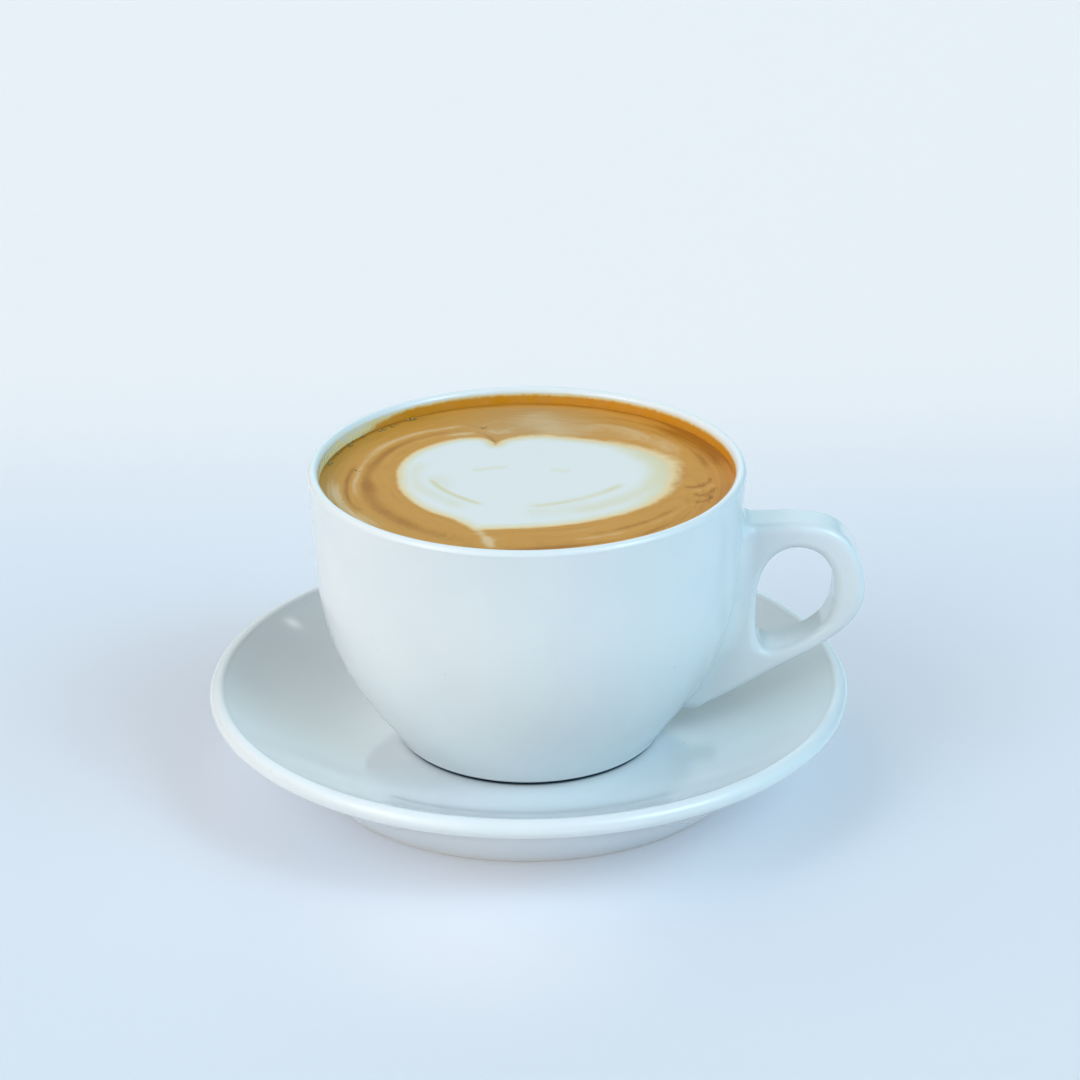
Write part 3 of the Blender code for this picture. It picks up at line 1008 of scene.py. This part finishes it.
    def model(self) -> bpy.types.Object:
        """Model the strap from a torus whose rings become its rounded sections.

        Returns:
            The strap, whose skin runs on inside the wall.
        """
        outlines = self.outlines()
        round_steps = 2 * (self.face_steps + 2 * self.corner_steps + self.side_steps)
        deselect_all()
        bpy.ops.mesh.primitive_torus_add(
            major_segments=self.stations, minor_segments=round_steps, major_radius=self.ring,
            minor_radius=self.tube, location=(self.centre[0], 0.0, self.centre[1]),
            rotation=(math.pi / 2, 0.0, 0.0))
        piece = bpy.context.object
        piece.name = "handle"
        bpy.ops.object.transform_apply(location=True, rotation=True, scale=True)
        turns = [math.tau * station / self.stations for station in range(self.stations)]
        sections = [self.section(turn, outlines) for turn in turns]

        def place_on_section(place: Vector) -> Vector:
            """Find a vertex of the torus on the section of its ring.

            Args:
                place: Where the vertex is.

            Returns:
                Where it goes.
            """
            along, up = place.x - self.centre[0], place.z - self.centre[1]
            station = round(math.atan2(up, along) / math.tau * self.stations) % self.stations
            swing = math.atan2(place.y, math.hypot(along, up) - self.ring)
            return sections[station][round(swing / math.tau * round_steps) % round_steps]

        with edit_mode():
            move_selected(piece, place_on_section)
            bpy.ops.mesh.normals_make_consistent(inside=False)
        bpy.ops.object.shade_smooth()
        return piece

    def flow_into_wall(self, piece: bpy.types.Object) -> None:
        """Bend the strap's skin near the wall into a fillet that a rolled ball would leave.

        Args:
            piece: The strap, whose vertices are moved.
        """
        points, skin = read_points(piece), read_rows(piece.data.vertex_normals, "vector")
        depth, wall = self.wall.clearance(points)
        facing = np.einsum("ij,ij->i", skin, wall)
        corner = np.arccos(np.clip(facing, -1.0, 1.0))
        height = ease((points[:, 2] - self.low_arm[0]) / (self.low_arm[1] - self.low_arm[0]))
        side_ball = self.low_fillet + (self.side_fillet - self.low_fillet) * height
        ball_size = self.inner_fillet + (side_ball - self.inner_fillet) * skin[:, 1] ** 2
        away, along = self.fillet_facing
        ball_size *= 1.0 - (1.0 - self.fillet_left) * ease((facing - away) / (along - away))
        start = ball_size * (1.0 - facing)
        least, most = self.bent_facing
        chosen = (depth < start) & (depth > -self.skirt) & (facing > least) & (facing < most)
        # Place, skin's normal and wall's normal, then the distance to the wall, the corner's
        # cosine, sine and angle, the distance at which the fillet starts and the ball's radius.
        p, n, w = points[chosen], skin[chosen], wall[chosen]
        numbers = (depth, facing, np.sin(corner), corner, start, ball_size)
        d, c, s, a, f, r = (values[chosen][:, None] for values in numbers)
        ball = p + (w - c * n) / s * (f - d) / s + r * n
        share = np.clip((f - d) / f, 0.0, 1.0)
        direction = (np.sin((1.0 - share) * a) * n + np.sin(share * a) * w) / s
        under = np.clip(-d, 0.0, self.skirt)
        rolled = ball - r * direction + (n - c * w) / s * under
        sunk = self.skirt_rise - self.skirt_dip * (under[:, 0] / self.skirt) ** 2
        wanted = r[:, 0] * (1.0 - np.einsum("ij,ij->i", direction, w)) + sunk
        reached, lean = self.wall.clearance(rolled)
        points[chosen] = rolled - lean * (reached - wanted)[:, None]
        write_points(piece, points)


@dataclass
class Cup:
    """Bowl-shaped cup with a rounded lip and its handle."""

    places: Places
    wall: Wall
    handle: Handle
    finish: GlazeFinish
    lip_round: float = 1.3 * MM
    foot_edge: float = 29.2 * MM
    foot_inner: float = 25.0 * MM
    foot_chamfer: float = 0.5 * MM
    foot_drop: float = 0.2 * MM         # how much nearer to the saucer the foot stands
    under_hollow: float = 1.8 * MM
    under_slope: float = 1.2 * MM
    floor_dip: float = 0.6 * MM
    stain_low: float = 0.2              # height of dried crema on the wall, in millimetres
    stain_high: float = 3.3
    stain_middle_deg: float = 76.0      # where it is highest, seen from above
    stain_half_deg: float = 100.0       # how far to each side it stays as high
    stain_fade_deg: float = 20.0        # over how much more it sinks to the drink
    stain_thin_deg: Span = (122.0, 146.0)       # where it thins to a pale film
    stain_thin_end_deg: float = 270.0   # and where it is as thick again
    stain_thin: float = 0.12            # share of its value that is left there
    stain_cap: float = 2.0              # the stain's value is no higher than this at the wall
    stain_fall: float = 3.0             # and this much lower a millimetre into the porcelain
    crease_shade_share: float = 0.8           # how dark the painted shade in the groove over the foot is
    bore_spacing: float = 1.4           # over 1 these lay points closer near the bowl's bottom
    wall_spacing: float = 1.3
    lip_deg: Span = (172.0, 8.0)        # arc of the lip, from the inside to the outside
    turn_steps: int = 208
    wall_steps: int = 88
    bore_steps: int = 60
    lip_steps: int = 20

    def section(self) -> list[Point]:
        """Draw the cup's section.

        Returns:
            Points from the middle of its floor over the lip to the middle of its underside.
        """
        lip_z = self.places.cup_rim - self.lip_round
        floor = self.wall.floor_height
        bore = floor + (lip_z - floor) * np.linspace(0, 1, self.bore_steps) ** self.bore_spacing
        inside = [(float(self.wall.inner(z)), float(z)) for z in bore]
        belly = self.wall.belly_height
        skin = belly + (lip_z - belly) * np.linspace(1, 0, self.wall_steps) ** self.wall_spacing
        outside = [(float(self.wall.outer(z)), float(z)) for z in skin]
        lip_r = (inside[-1][0] + outside[0][0]) / 2
        lip = arc((lip_r, lip_z), self.lip_round, *self.lip_deg, self.lip_steps)
        foot_z = self.places.cup_foot - self.foot_drop
        ceiling = self.places.cup_foot + self.under_hollow
        foot = [(self.wall.belly_radius - self.foot_chamfer, belly - self.foot_chamfer),
                (self.foot_edge, foot_z), (self.foot_inner, foot_z),
                (self.foot_inner - self.under_slope, ceiling), (0.0, ceiling)]
        return [(0.0, floor - self.floor_dip)] + inside + lip + outside + foot

    def stain(self, points: np.ndarray) -> np.ndarray:
        """Work out where dried crema lies.

        Args:
            points: Array of (x, y, z) about the cup's axis.

        Returns:
            How far each lies below the crema's upper edge, in millimetres, less where it is thin.
        """
        angle = np.degrees(np.arctan2(points[:, 1], points[:, 0]))
        away = np.abs((angle - self.stain_middle_deg + 180.0) % 360.0 - 180.0)
        share = 1.0 - ease((away - self.stain_half_deg) / self.stain_fade_deg)
        top = self.stain_low + (self.stain_high - self.stain_low) * share
        height = (points[:, 2] - self.places.drink_level) / MM
        radius = reach_from_axis(points)
        past_bore = (radius - self.wall.inner(points[:, 2])) / MM
        start, end = self.stain_thin_deg
        thinned = ease((angle % 360.0 - start) / (end - start))
        thinned *= angle % 360.0 < self.stain_thin_end_deg
        thickness = 1.0 - (1.0 - self.stain_thin) * thinned
        return np.minimum((top - height) * thickness, self.stain_cap - self.stain_fall * past_bore)

    def build(self) -> bpy.types.Object:
        """Turn the bowl, model the handle, join them and put them in place of their solid.

        Returns:
            The finished piece.
        """
        bowl = turned_piece("cup_china", self.section(), self.turn_steps)
        strap = self.handle.model()
        self.handle.flow_into_wall(strap)
        select_only(bowl, strap)
        bpy.ops.object.join()
        points = read_points(bowl)
        write_attribute(bowl, "stain", self.stain(points))
        # painted shade in the groove over the foot, where the bowl meets the saucer
        low = points[:, 2] < self.wall.belly_height - MM
        shaded_groove = low & (reach_from_axis(points) < self.wall.belly_radius)
        write_attribute(bowl, "crease_shade", self.crease_shade_share * shaded_groove)
        settle(bowl, self.places.axis_x)
        bowl.data.materials.append(self.finish.material("cup_glaze", stained=True))
        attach(bowl, "root")
        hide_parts("cup")
        return bowl


class Shade(Enum):
    """Whether a stroke in the crema is paler or darker than what lies round it."""

    PALE = 1.0
    DARK = -1.0


@dataclass(frozen=True)
class Stroke:
    """One swirl line or soft patch, drawn through points seen from above, in millimetres."""

    shade: Shade
    strength: float
    width: float
    points: tuple[Point, ...]
    fade: float = 0.16                  # share of its length over which each end fades

    def tone(self, places: np.ndarray) -> np.ndarray:
        """Draw the stroke.

        Args:
            places: Array of (x, y) in millimetres.

        Returns:
            What the stroke adds to the tone at each.
        """
        away, along = distance_to_line(places, smooth_curve(self.points, per_span=6))
        fade = ease(along / self.fade) * ease((1.0 - along) / self.fade)
        return self.shade.value * self.strength * fade * bell(away, self.width)


@dataclass
class Drink:
    """Coffee up to its level, its tan crema and the white heart poured into it."""

    places: Places
    wall: Wall
    finish: DrinkFinish
    bubble_finish: BubbleFinish
    right_lobe: tuple[Point, ...] = (   # from above, as (x, y) in millimetres
        (-7.5, 22.8), (-4.0, 26.8), (3.0, 28.6), (11.0, 26.8), (20.0, 24.0), (28.6, 18.6),
        (33.8, 11.3), (34.3, 2.2), (31.0, -9.0), (23.5, -18.0), (12.0, -24.0), (0.0, -26.6),
        (-11.8, -27.4),
    )
    left_lobe: tuple[Point, ...] = (
        (-11.8, -27.4), (-16.0, -22.2), (-23.5, -15.0), (-28.5, -6.0), (-30.0, 4.0),
        (-29.0, 13.0), (-24.0, 21.5), (-16.5, 27.0), (-10.5, 27.2), (-7.5, 22.8),
    )
    crown: float = 0.3 * MM             # how far the heart stands above the crema
    crown_start: float = 0.4            # how many millimetres before its edge it starts to rise
    crown_run: float = 4.0              # and over how many it rises
    meniscus: float = 0.7 * MM          # how far the drink climbs the wall
    meniscus_run: float = 1.0
    wall_reach: float = 0.35 * MM       # how far the drink reaches into the wall
    swirl_height: float = 0.10 * MM     # how far the crema stands up where it is paler
    swirl_limit: float = 0.4            # change of tone past which it stands no higher
    fold_depth: float = 0.05 * MM       # how deep the lines in the foam are
    plain_tone: float = 0.50            # tone of the crema between its strokes
    back_start: float = -0.1            # sine of the bearing past which the wall is at the back
    back_run: float = 0.5
    rim_shade: float = 0.45             # how much darker the crema is along the wall there
    rim_shade_run: float = 0.7
    halo_shade: float = 0.07            # and how much darker in a ring round the heart
    halo_gap: float = 1.8
    halo_width: float = 1.4
    far_light_tint_share: float = 0.45             # how much painted light greys the crema behind the heart
    far_light_tint_start: float = 20.0             # how far back that begins
    far_light_tint_run: float = 14.0
    far_light_tint_middle: float = 2.0             # its middle, from the left to the right
    far_light_tint_width: float = 18.0
    far_light_tint_gap: float = 2.5                # how far off the wall it fades
    fringe_width: float = 1.1           # of the heart's soft edge
    fringes: tuple[tuple[float, float, float], ...] = (     # direction and spread, what they add
        (14.0, 30.0, 2.4), (75.0, 40.0, 0.4),
    )
    heart_streaks: float = 0.8          # streaks a millimetre, counted out from the heart
    wall_streaks: float = 0.9           # and in from the wall
    round_streaks: float = 2.2          # how much they change on their way round
    bubble_seed: int = 5
    wall_bubbles: int = 22
    wall_bubbles_deg: Span = (124.0, 168.0)     # where along the wall they lie
    wall_bubble_gap: Span = (0.1, 0.9)
    wall_bubble_size: Span = (0.22, 0.60)
    clusters: tuple[tuple[float, float, int, float], ...] = (   # x, y, how many, how far apart
        (-40.6, 8.0, 3, 1.2), (-10.5, 34.0, 3, 1.0), (41.8, -9.6, 4, 1.6), (39.6, -13.6, 3, 1.6),
        (-43.0, -9.0, 2, 1.6),
    )
    cluster_bubble_size: Span = (0.14, 0.34)
    dome_squash: float = 0.7            # height of a bubble, of its radius
    dome_foot: float = 0.1 * MM         # how much of a bubble 1 mm in radius is under the surface
    turn_steps: int = 384
    surface_steps: int = 162
    side_steps: int = 20
    heart_steps: int = 12               # between two points of the heart's outline

    strokes: tuple[Stroke, ...] = (
        Stroke(Shade.DARK, 0.30, 1.5, ((-9, 33.4), (-18, 31.6), (-26, 27.4), (-32.4, 20), (-36.4, 10),
                                       (-37.6, 1), (-37, -7))),
        Stroke(Shade.DARK, 0.34, 2.1, ((-37.4, 9), (-37.6, 3), (-36.8, -2), (-36, -9), (-33.4, -15.6),
                                       (-29, -22), (-24, -27.4), (-17, -32.4), (-9, -36.4)), 0.3),
        Stroke(Shade.PALE, 0.26, 0.9, ((-9, 36.6), (-18, 34.6), (-27, 30.4), (-34, 23), (-38.2, 13),
                                       (-39.8, 3), (-39.7, -6), (-38, -13))),
        Stroke(Shade.PALE, 0.22, 0.9, ((-10, 31.2), (-20, 29.4), (-27.5, 24.5), (-32, 17.5), (-34.4, 9))),
        Stroke(Shade.DARK, 0.40, 0.9, ((-39.8, 14), (-41.7, 5), (-42.1, -4), (-40.6, -12), (-37, -19))),
        Stroke(Shade.PALE, 0.38, 2.0, ((-45, 8), (-44.8, -4), (-42, -14), (-37, -22.5), (-31, -29)), 0.3),
        Stroke(Shade.PALE, 0.30, 5.4, ((6, 26), (6, 33), (3, 39), (0, 46)), 0.2),
        Stroke(Shade.PALE, 0.22, 4.4, ((8, 33), (19, 34), (27, 29), (33, 21.5), (36, 14))),
        Stroke(Shade.PALE, 0.22, 2.6, ((-2, 31), (-8, 31.4), (-14, 31.4), (-20, 29))),
        Stroke(Shade.DARK, 0.42, 2.6, ((26, 38.5), (35.4, 30), (41, 22.6), (44.4, 13), (46, 2)), 0.34),
        Stroke(Shade.DARK, 0.15, 5.5, ((43, 0), (42, -8), (37.6, -16), (31, -24), (20, -33))),
        Stroke(Shade.DARK, 0.14, 3.4, ((-16, -38.6), (-6, -38.4), (4, -37.4), (14, -36))),
        Stroke(Shade.DARK, 0.20, 0.8, ((9, 36), (20, 36.8), (30, 31), (37.5, 22.5), (41.4, 13), (42, 5))),
        Stroke(Shade.DARK, 0.20, 0.8, ((12, 40.5), (22, 39.4), (31, 34), (38, 26))),
        Stroke(Shade.DARK, 0.34, 0.6, ((36, -3.2), (39, -3.8), (42.0, -1.4), (43.2, 2.6))),
        Stroke(Shade.PALE, 0.30, 0.7, ((37.6, -6.6), (41.4, -5.0), (44, -2))),
        Stroke(Shade.DARK, 0.32, 0.6, ((38.5, -7.2), (40, -9.0), (42.6, -7.0), (43.6, -3.6))),
        Stroke(Shade.DARK, 0.30, 0.6, ((37.8, -12.2), (40.4, -12.4), (42.4, -10.4), (41.6, -8.2))),
        Stroke(Shade.DARK, 0.24, 0.7, ((12, -31.5), (20, -28.5), (28, -23), (35, -15.5))),
        Stroke(Shade.PALE, 0.22, 0.7, ((6, -34.6), (16, -32.4), (25.5, -27.4), (33.5, -19.6), (39, -11))),
        Stroke(Shade.DARK, 0.26, 0.8, ((-14, -40), (0, -39), (14, -36.4), (26, -31), (35, -22.6))),
        Stroke(Shade.PALE, 0.42, 1.3, ((-11.6, -26.4), (-10.6, -29.6), (-9.2, -33), (-8, -38.4)), 0.05),
        Stroke(Shade.DARK, 0.34, 0.6, ((-7.7, 22.6), (-8.0, 26), (-9.6, 29.4), (-12.4, 31.8)), 0.05),
        Stroke(Shade.DARK, 0.28, 0.6, ((-15.4, 36.6), (-11.8, 34.6), (-9.0, 32))),
    )
    foam_lines: tuple[Stroke, ...] = (
        Stroke(Shade.PALE, 1.00, 0.8, ((-23, 3), (-21, -2), (-18, -6.6), (-14, -10.8), (-9.2, -14.6))),
        Stroke(Shade.PALE, 0.80, 1.0, ((-1.6, -15.4), (6, -13.8), (13.6, -10.2), (19.4, -5.6),
                                       (23, -1.4))),
        Stroke(Shade.PALE, 0.45, 1.0, ((-13.4, 6.4), (-8.6, 8.0), (-4, 8.8))),
        Stroke(Shade.PALE, 0.40, 1.2, ((5.4, 7.2), (8, 6.2), (10.8, 6.2))),
        Stroke(Shade.PALE, 0.55, 2.6, ((22, 21), (29, 13), (31, 6), (29, -2), (24, -9.6), (15, -16),
                                       (4, -19))),
        Stroke(Shade.PALE, 0.40, 2.0, ((-24, 14), (-26.6, 5), (-24.6, -4), (-19, -11), (-13, -16.6))),
        Stroke(Shade.PALE, 0.25, 3.4, ((-2, -18), (8, -17.6), (17, -12.4))),
        Stroke(Shade.PALE, 0.30, 2.4, ((-21, 6), (-20.6, 2), (-19.6, -2), (-17, -6)), 0.3),
    )

    def heart(self) -> np.ndarray:
        """Return the heart's outline in millimetres, with its notch and its tip kept sharp."""
        lobes = [smooth_curve(lobe, self.heart_steps) for lobe in (self.right_lobe, self.left_lobe)]
        return np.vstack([lobe[:-1] for lobe in lobes])

    def bore(self) -> float:
        """Return the radius of the cup's inside at the drink's level, in millimetres."""
        return float(self.wall.inner(self.places.drink_level)) / MM

    def section(self) -> list[Point]:
        """Draw the drink's section.

        Returns:
            Points over its surface out into the wall, then down to the cup's floor.
        """
        level = self.places.drink_level
        edge = float(self.wall.inner(level)) + self.wall_reach
        surface = [(edge * s, level) for s in np.linspace(0.0, 1.0, self.surface_steps)]
        heights = np.linspace(level, self.wall.floor_height, self.side_steps + 1)
        side = [(float(self.wall.inner(z)) + self.wall_reach, float(z)) for z in heights[1:]]
        return surface + side + [(0.0, side[-1][1])]

    def fringe(self, angle: np.ndarray) -> np.ndarray:
        """Give the width of the heart's soft edge.

        Args:
            angle: Array of directions from the middle, in radians.

        Returns:
            The width in each, in millimetres.
        """
        width = np.full(len(angle), self.fringe_width)
        for direction, spread, more in self.fringes:
            width += more * bell(angle - math.radians(direction), math.radians(spread))
        return width

    def shape_surface(self, piece: bpy.types.Object) -> None:
        """Raise the heart and the drink's edge, and keep what the finish reads.

        Args:
            piece: The turned drink.
        """
        points = read_points(piece)
        on_top = points[:, 2] > self.places.drink_level - WELD
        places = points[:, :2] / MM
        radius = reach_from_axis(places)
        angle = np.arctan2(places[:, 1], places[:, 0])
        outline = self.heart()
        inside = is_inside(places, outline)
        away, _ = distance_to_line(places, np.vstack([outline, outline[:1]]))
        edge = away * np.where(inside, 1.0, -1.0)
        rim = np.clip(self.bore() - radius, 0.0, None)
        tone = np.full(len(points), self.plain_tone)
        for stroke in self.strokes:
            tone += stroke.tone(places)
        back = ease((np.sin(angle) - self.back_start) / self.back_run)
        tone -= self.rim_shade * back * bell(rim, self.rim_shade_run)
        tone -= self.halo_shade * bell(edge + self.halo_gap, self.halo_width)
        veil = np.zeros(len(points))
        for stroke in self.foam_lines:
            veil = np.maximum(veil, stroke.tone(places))
        share = (radius / (radius + rim)) ** 2
        across = (1.0 - share) * edge * self.heart_streaks - share * rim * self.wall_streaks
        flow = np.column_stack([across, np.cos(angle) * self.round_streaks,
                                np.sin(angle) * self.round_streaks])
        swirl = np.clip(tone - self.plain_tone, -self.swirl_limit, self.swirl_limit)
        relief = self.crown * ease((edge + self.crown_start) / self.crown_run)
        relief += self.meniscus * np.exp(-rim / self.meniscus_run)
        relief += self.swirl_height * swirl * (edge < 0.0)
        relief -= self.fold_depth * veil * inside
        points[:, 2] += np.where(on_top, relief, 0.0)
        write_points(piece, points)
        write_attribute(piece, "tone", tone)
        # painted light: grey tint on the crema behind the heart, fading off the wall
        far_lit = ease((places[:, 1] - self.far_light_tint_start) / self.far_light_tint_run) * ease(rim / self.far_light_tint_gap)
        far_lit *= bell(places[:, 0] - self.far_light_tint_middle, self.far_light_tint_width)
        write_attribute(piece, "far_light_tint", self.far_light_tint_share * far_lit)
        write_attribute(piece, "foam", edge / self.fringe(angle))
        write_attribute(piece, "veil", veil * (edge > 0.0))
        write_attribute(piece, "flow", flow)

    def build(self) -> bpy.types.Object:
        """Turn the drink, shape its surface and put it in place of both of its solids.

        Returns:
            The finished piece.
        """
        piece = turned_piece("drink", self.section(), self.turn_steps)
        self.shape_surface(piece)
        settle(piece, self.places.axis_x)
        piece.data.materials.append(self.finish.material("crema_and_foam"))
        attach(piece, "root")
        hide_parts("coffee", "milk_foam_heart")
        return piece

    def bubble_spots(self) -> list[Place]:
        """Scatter the crema's larger bubbles.

        Returns:
            Each bubble as (x, y, radius), in millimetres.
        """
        draw = random.Random(self.bubble_seed)
        spots = []
        for _ in range(self.wall_bubbles):
            angle = math.radians(draw.uniform(*self.wall_bubbles_deg))
            reach = self.bore() - draw.uniform(*self.wall_bubble_gap)
            size = draw.uniform(*self.wall_bubble_size)
            spots.append((reach * math.cos(angle), reach * math.sin(angle), size))
        for x, y, count, spread in self.clusters:
            for _ in range(count):
                place = (x + draw.gauss(0, spread / 2), y + draw.gauss(0, spread / 2))
                spots.append((*place, draw.uniform(*self.cluster_bubble_size)))
        return spots

    def build_bubbles(self) -> bpy.types.Object:
        """Model one bubble's dome, copy it to every spot and join the copies.

        Returns:
            The finished piece.
        """
        deselect_all()
        bpy.ops.mesh.primitive_uv_sphere_add(segments=16, ring_count=10, radius=MM)
        dome = bpy.context.object
        with edit_mode():
            bpy.ops.transform.resize(value=(1.0, 1.0, self.dome_squash), center_override=(0, 0, 0))
            bpy.ops.mesh.bisect(plane_co=(0, 0, -self.dome_foot), plane_no=(0, 0, -1),
                                use_fill=True, clear_outer=True)
        bpy.ops.object.shade_smooth()
        heights = read_points(dome)[:, 2] / (self.dome_squash * MM)
        write_attribute(dome, "crown", np.clip(heights, 0.0, 1.0))
        copies = []
        for x, y, size in self.bubble_spots():
            copy = new_object("bubble", dome.data.copy())
            climb = self.meniscus * math.exp((math.hypot(x, y) - self.bore()) / self.meniscus_run)
            copy.location = (x * MM, y * MM, self.places.drink_level + climb)
            copy.scale = (size, size, size)
            copies.append(copy)
        bpy.data.objects.remove(dome)
        select_only(*copies)
        bpy.ops.object.join()
        piece = bpy.context.object
        piece.name = "crema_bubbles"
        settle(piece, self.places.axis_x)
        piece.data.materials.append(self.bubble_finish.material("bubble_film"))
        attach(piece, "root")
        return piece


@dataclass(frozen=True)
class Glow:
    """Soft bright patch of the studio's air, seen from the cup."""

    name: str
    bearing: float                      # degrees from +X towards +Y
    height: float                       # degrees above the horizon
    tightness: float                    # the higher, the smaller the patch
    colour: Colour

    def direction(self) -> Place:
        """Return the direction of its middle."""
        turn, rise = math.radians(self.bearing), math.radians(self.height)
        return (math.cos(turn) * math.cos(rise), math.sin(turn) * math.cos(rise), math.sin(rise))


@dataclass
class Studio:
    """Pale floor, soft light and the camera."""

    places: Places
    floor_size: float = 8.0
    floor_drop: float = 0.1 * MM
    floor_cuts: int = 7
    floor_roughness: float = 0.7
    floor_colour: Colour = paint(190, 194, 199)
    # painted light: the floor is painted lighter far back, where more light falls
    far_lit_colour: Colour = paint(210, 213, 216)
    far_reach: Span = (0.10, 0.28)      # how far back the near floor becomes the far one
    near_glow: Colour = (0.180, 0.205, 0.250)   # light that the floor gives off by itself
    far_glow: Colour = (0.205, 0.170, 0.165)
    front_glow: Colour = (0.265, 0.262, 0.285)  # and in a patch before the saucer
    front_place: Place = (-0.012, -0.082, 0.0)
    front_reach: float = 0.056
    glows: tuple[Glow, ...] = (
        Glow("low window, front left", 225, 14, 7, (2.70, 2.35, 1.75)),
        Glow("blind, front left", 210, 44, 16, (1.25, 1.65, 2.20)),
        Glow("high window, front left", 208, 42, 90, (3.50, 4.60, 6.00)),
        Glow("sky, back left", 150, 44, 6, (1.33, 1.10, 0.90)),
        Glow("far window, back", 90, 22, 24, (0.55, 0.50, 0.42)),
        Glow("blind, front right", 330, 44, 16, (2.85, 3.80, 4.45)),
        Glow("high window, front right", 330, 44, 90, (4.70, 6.10, 7.20)),
        Glow("low sky, right", 0, 14, 7, (0.33, 0.90, 1.05)),
        Glow("low sky, back", 90, 14, 7, (0.50, 0.82, 0.90)),
    )
    lamp_target: float = 0.04           # height of the place that a lamp faces
    camera_place: Place = (0.0, -0.77523, 0.39673)
    camera_pitch: float = 0.4117        # radians below the horizon
    camera_yaw: float = 0.0038
    camera_roll: float = -0.0071
    focal_length: float = 120.0
    sensor_width: float = 36.0
    camera_sight: Span = (0.01, 50.0)

    def lay_floor(self) -> bpy.types.Object:
        """Lay a wide pale floor under the saucer.

        Returns:
            The floor, which is staging.
        """
        deselect_all()
        below = (0.0, 0.0, -self.floor_drop)
        bpy.ops.mesh.primitive_plane_add(size=self.floor_size, location=below)
        floor = bpy.context.object
        floor.name = "floor"
        with edit_mode():
            bpy.ops.mesh.subdivide(number_cuts=self.floor_cuts)
        material, sheet, shader = new_material("pale_floor")
        place = sheet.object_place()
        beyond = sheet.place("ShaderNodeSeparateXYZ", {0: place}).outputs["Y"]
        # painted light: the floor's colour lightens towards the back
        far = sheet.step(beyond, *self.far_reach)
        colour = sheet.mix(far, self.floor_colour, self.far_lit_colour)
        sheet.tree.links.new(colour, shader.inputs["Base Color"])
        away = sheet.vector_maths("DISTANCE", {0: place, 1: self.front_place}, "Value")
        front = sheet.step(away, 0.0, self.front_reach, 1.0, 0.0)
        glow = sheet.mix(far, self.near_glow, self.far_glow)
        glow = sheet.mix(front, glow, self.front_glow)
        sheet.tree.links.new(glow, shader.inputs["Emission Color"])
        shader.inputs["Emission Strength"].default_value = 1.0
        shader.inputs["Roughness"].default_value = self.floor_roughness
        floor.data.materials.append(material)
        return floor

    def fill_air(self) -> None:
        """Light the scene with the glows, added up by direction."""
        world = bpy.data.worlds.new("studio_air")
        world.use_nodes = True
        bpy.context.scene.world = world
        sheet = NodeSheet(world.node_tree)
        direction = sheet.place("ShaderNodeTexCoord", {}).outputs["Generated"]
        total = None
        for glow in self.glows:
            middle = glow.direction()
            facing = sheet.vector_maths("DOT_PRODUCT", {0: direction, 1: middle}, "Value")
            patch = sheet.maths("POWER", sheet.maths("MAXIMUM", facing, 0.0), glow.tightness)
            light = sheet.vector_maths("SCALE", {0: glow.colour, "Scale": patch})
            if total is not None:
                light = sheet.vector_maths("ADD", {0: total, 1: light})
            total = light
        background = world.node_tree.nodes["Background"]
        sheet.tree.links.new(total, background.inputs["Color"])
        background.inputs["Strength"].default_value = 1.0

    def hang_lamp(self, name: str, place: Place, size: float, power: float, colour: Colour) -> None:
        """Hang a square soft lamp that faces the cup.

        Args:
            name: Name of the lamp.
            place: Where it hangs.
            size: Length of its side.
            power: Its power in watts.
            colour: Its colour.
        """
        lamp = bpy.data.lights.new(name, "AREA")
        lamp.size = size
        lamp.energy = power
        lamp.color = colour
        holder = new_object(name, lamp)
        holder.location = place
        target = Vector((self.places.axis_x, 0.0, self.lamp_target))
        holder.rotation_euler = (target - Vector(place)).to_track_quat("-Z", "Y").to_euler()

    def set_camera(self) -> None:
        """Stand the camera where the photograph was taken from."""
        data = bpy.data.cameras.new("camera")
        data.lens = self.focal_length
        data.sensor_width = self.sensor_width
        data.clip_start, data.clip_end = self.camera_sight
        level = math.cos(self.camera_pitch)
        ahead = Vector((math.sin(self.camera_yaw) * level, math.cos(self.camera_yaw) * level,
                        -math.sin(self.camera_pitch)))
        right = Vector((math.cos(self.camera_yaw), -math.sin(self.camera_yaw), 0.0))
        up = right.cross(ahead)
        turn = self.camera_roll
        right, up = (right * math.cos(turn) + up * math.sin(turn),
                     up * math.cos(turn) - right * math.sin(turn))
        matrix = Matrix((right, up, -ahead)).transposed().to_4x4()
        matrix.translation = Vector(self.camera_place) + Vector((self.places.axis_x, 0.0, 0.0))
        camera = new_object("camera", data)
        camera.matrix_world = matrix
        bpy.context.scene.camera = camera

    def build(self) -> None:
        """Set up the floor, the light, the camera and the picture's plain colours."""
        self.lay_floor()
        self.fill_air()
        self.hang_lamp("far_window", place=(0.475, 0.770, 0.851), size=0.022, power=0.018,
                       colour=(0.92, 0.97, 1.0))
        self.set_camera()
        bpy.context.scene.view_settings.view_transform = "Standard"


def main() -> None:
    """Load the frame, build every piece round it and report them."""
    logging.basicConfig(level=logging.INFO, format="%(message)s")
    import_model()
    deselect_all()
    places = Places.read()
    glaze = GlazeFinish()
    wall = Wall(places)
    drink = Drink(places, wall, DrinkFinish(), BubbleFinish())
    pieces = [
        Saucer(places, glaze).build(),
        Cup(places, wall, Handle(wall), glaze).build(),
        drink.build(),
        drink.build_bubbles(),
    ]
    Studio(places).build()
    for piece in pieces:
        mesh = piece.data
        log.info("%s: %d vertices, %d faces", piece.name, len(mesh.vertices), len(mesh.polygons))


if __name__ == "__main__":
    main()
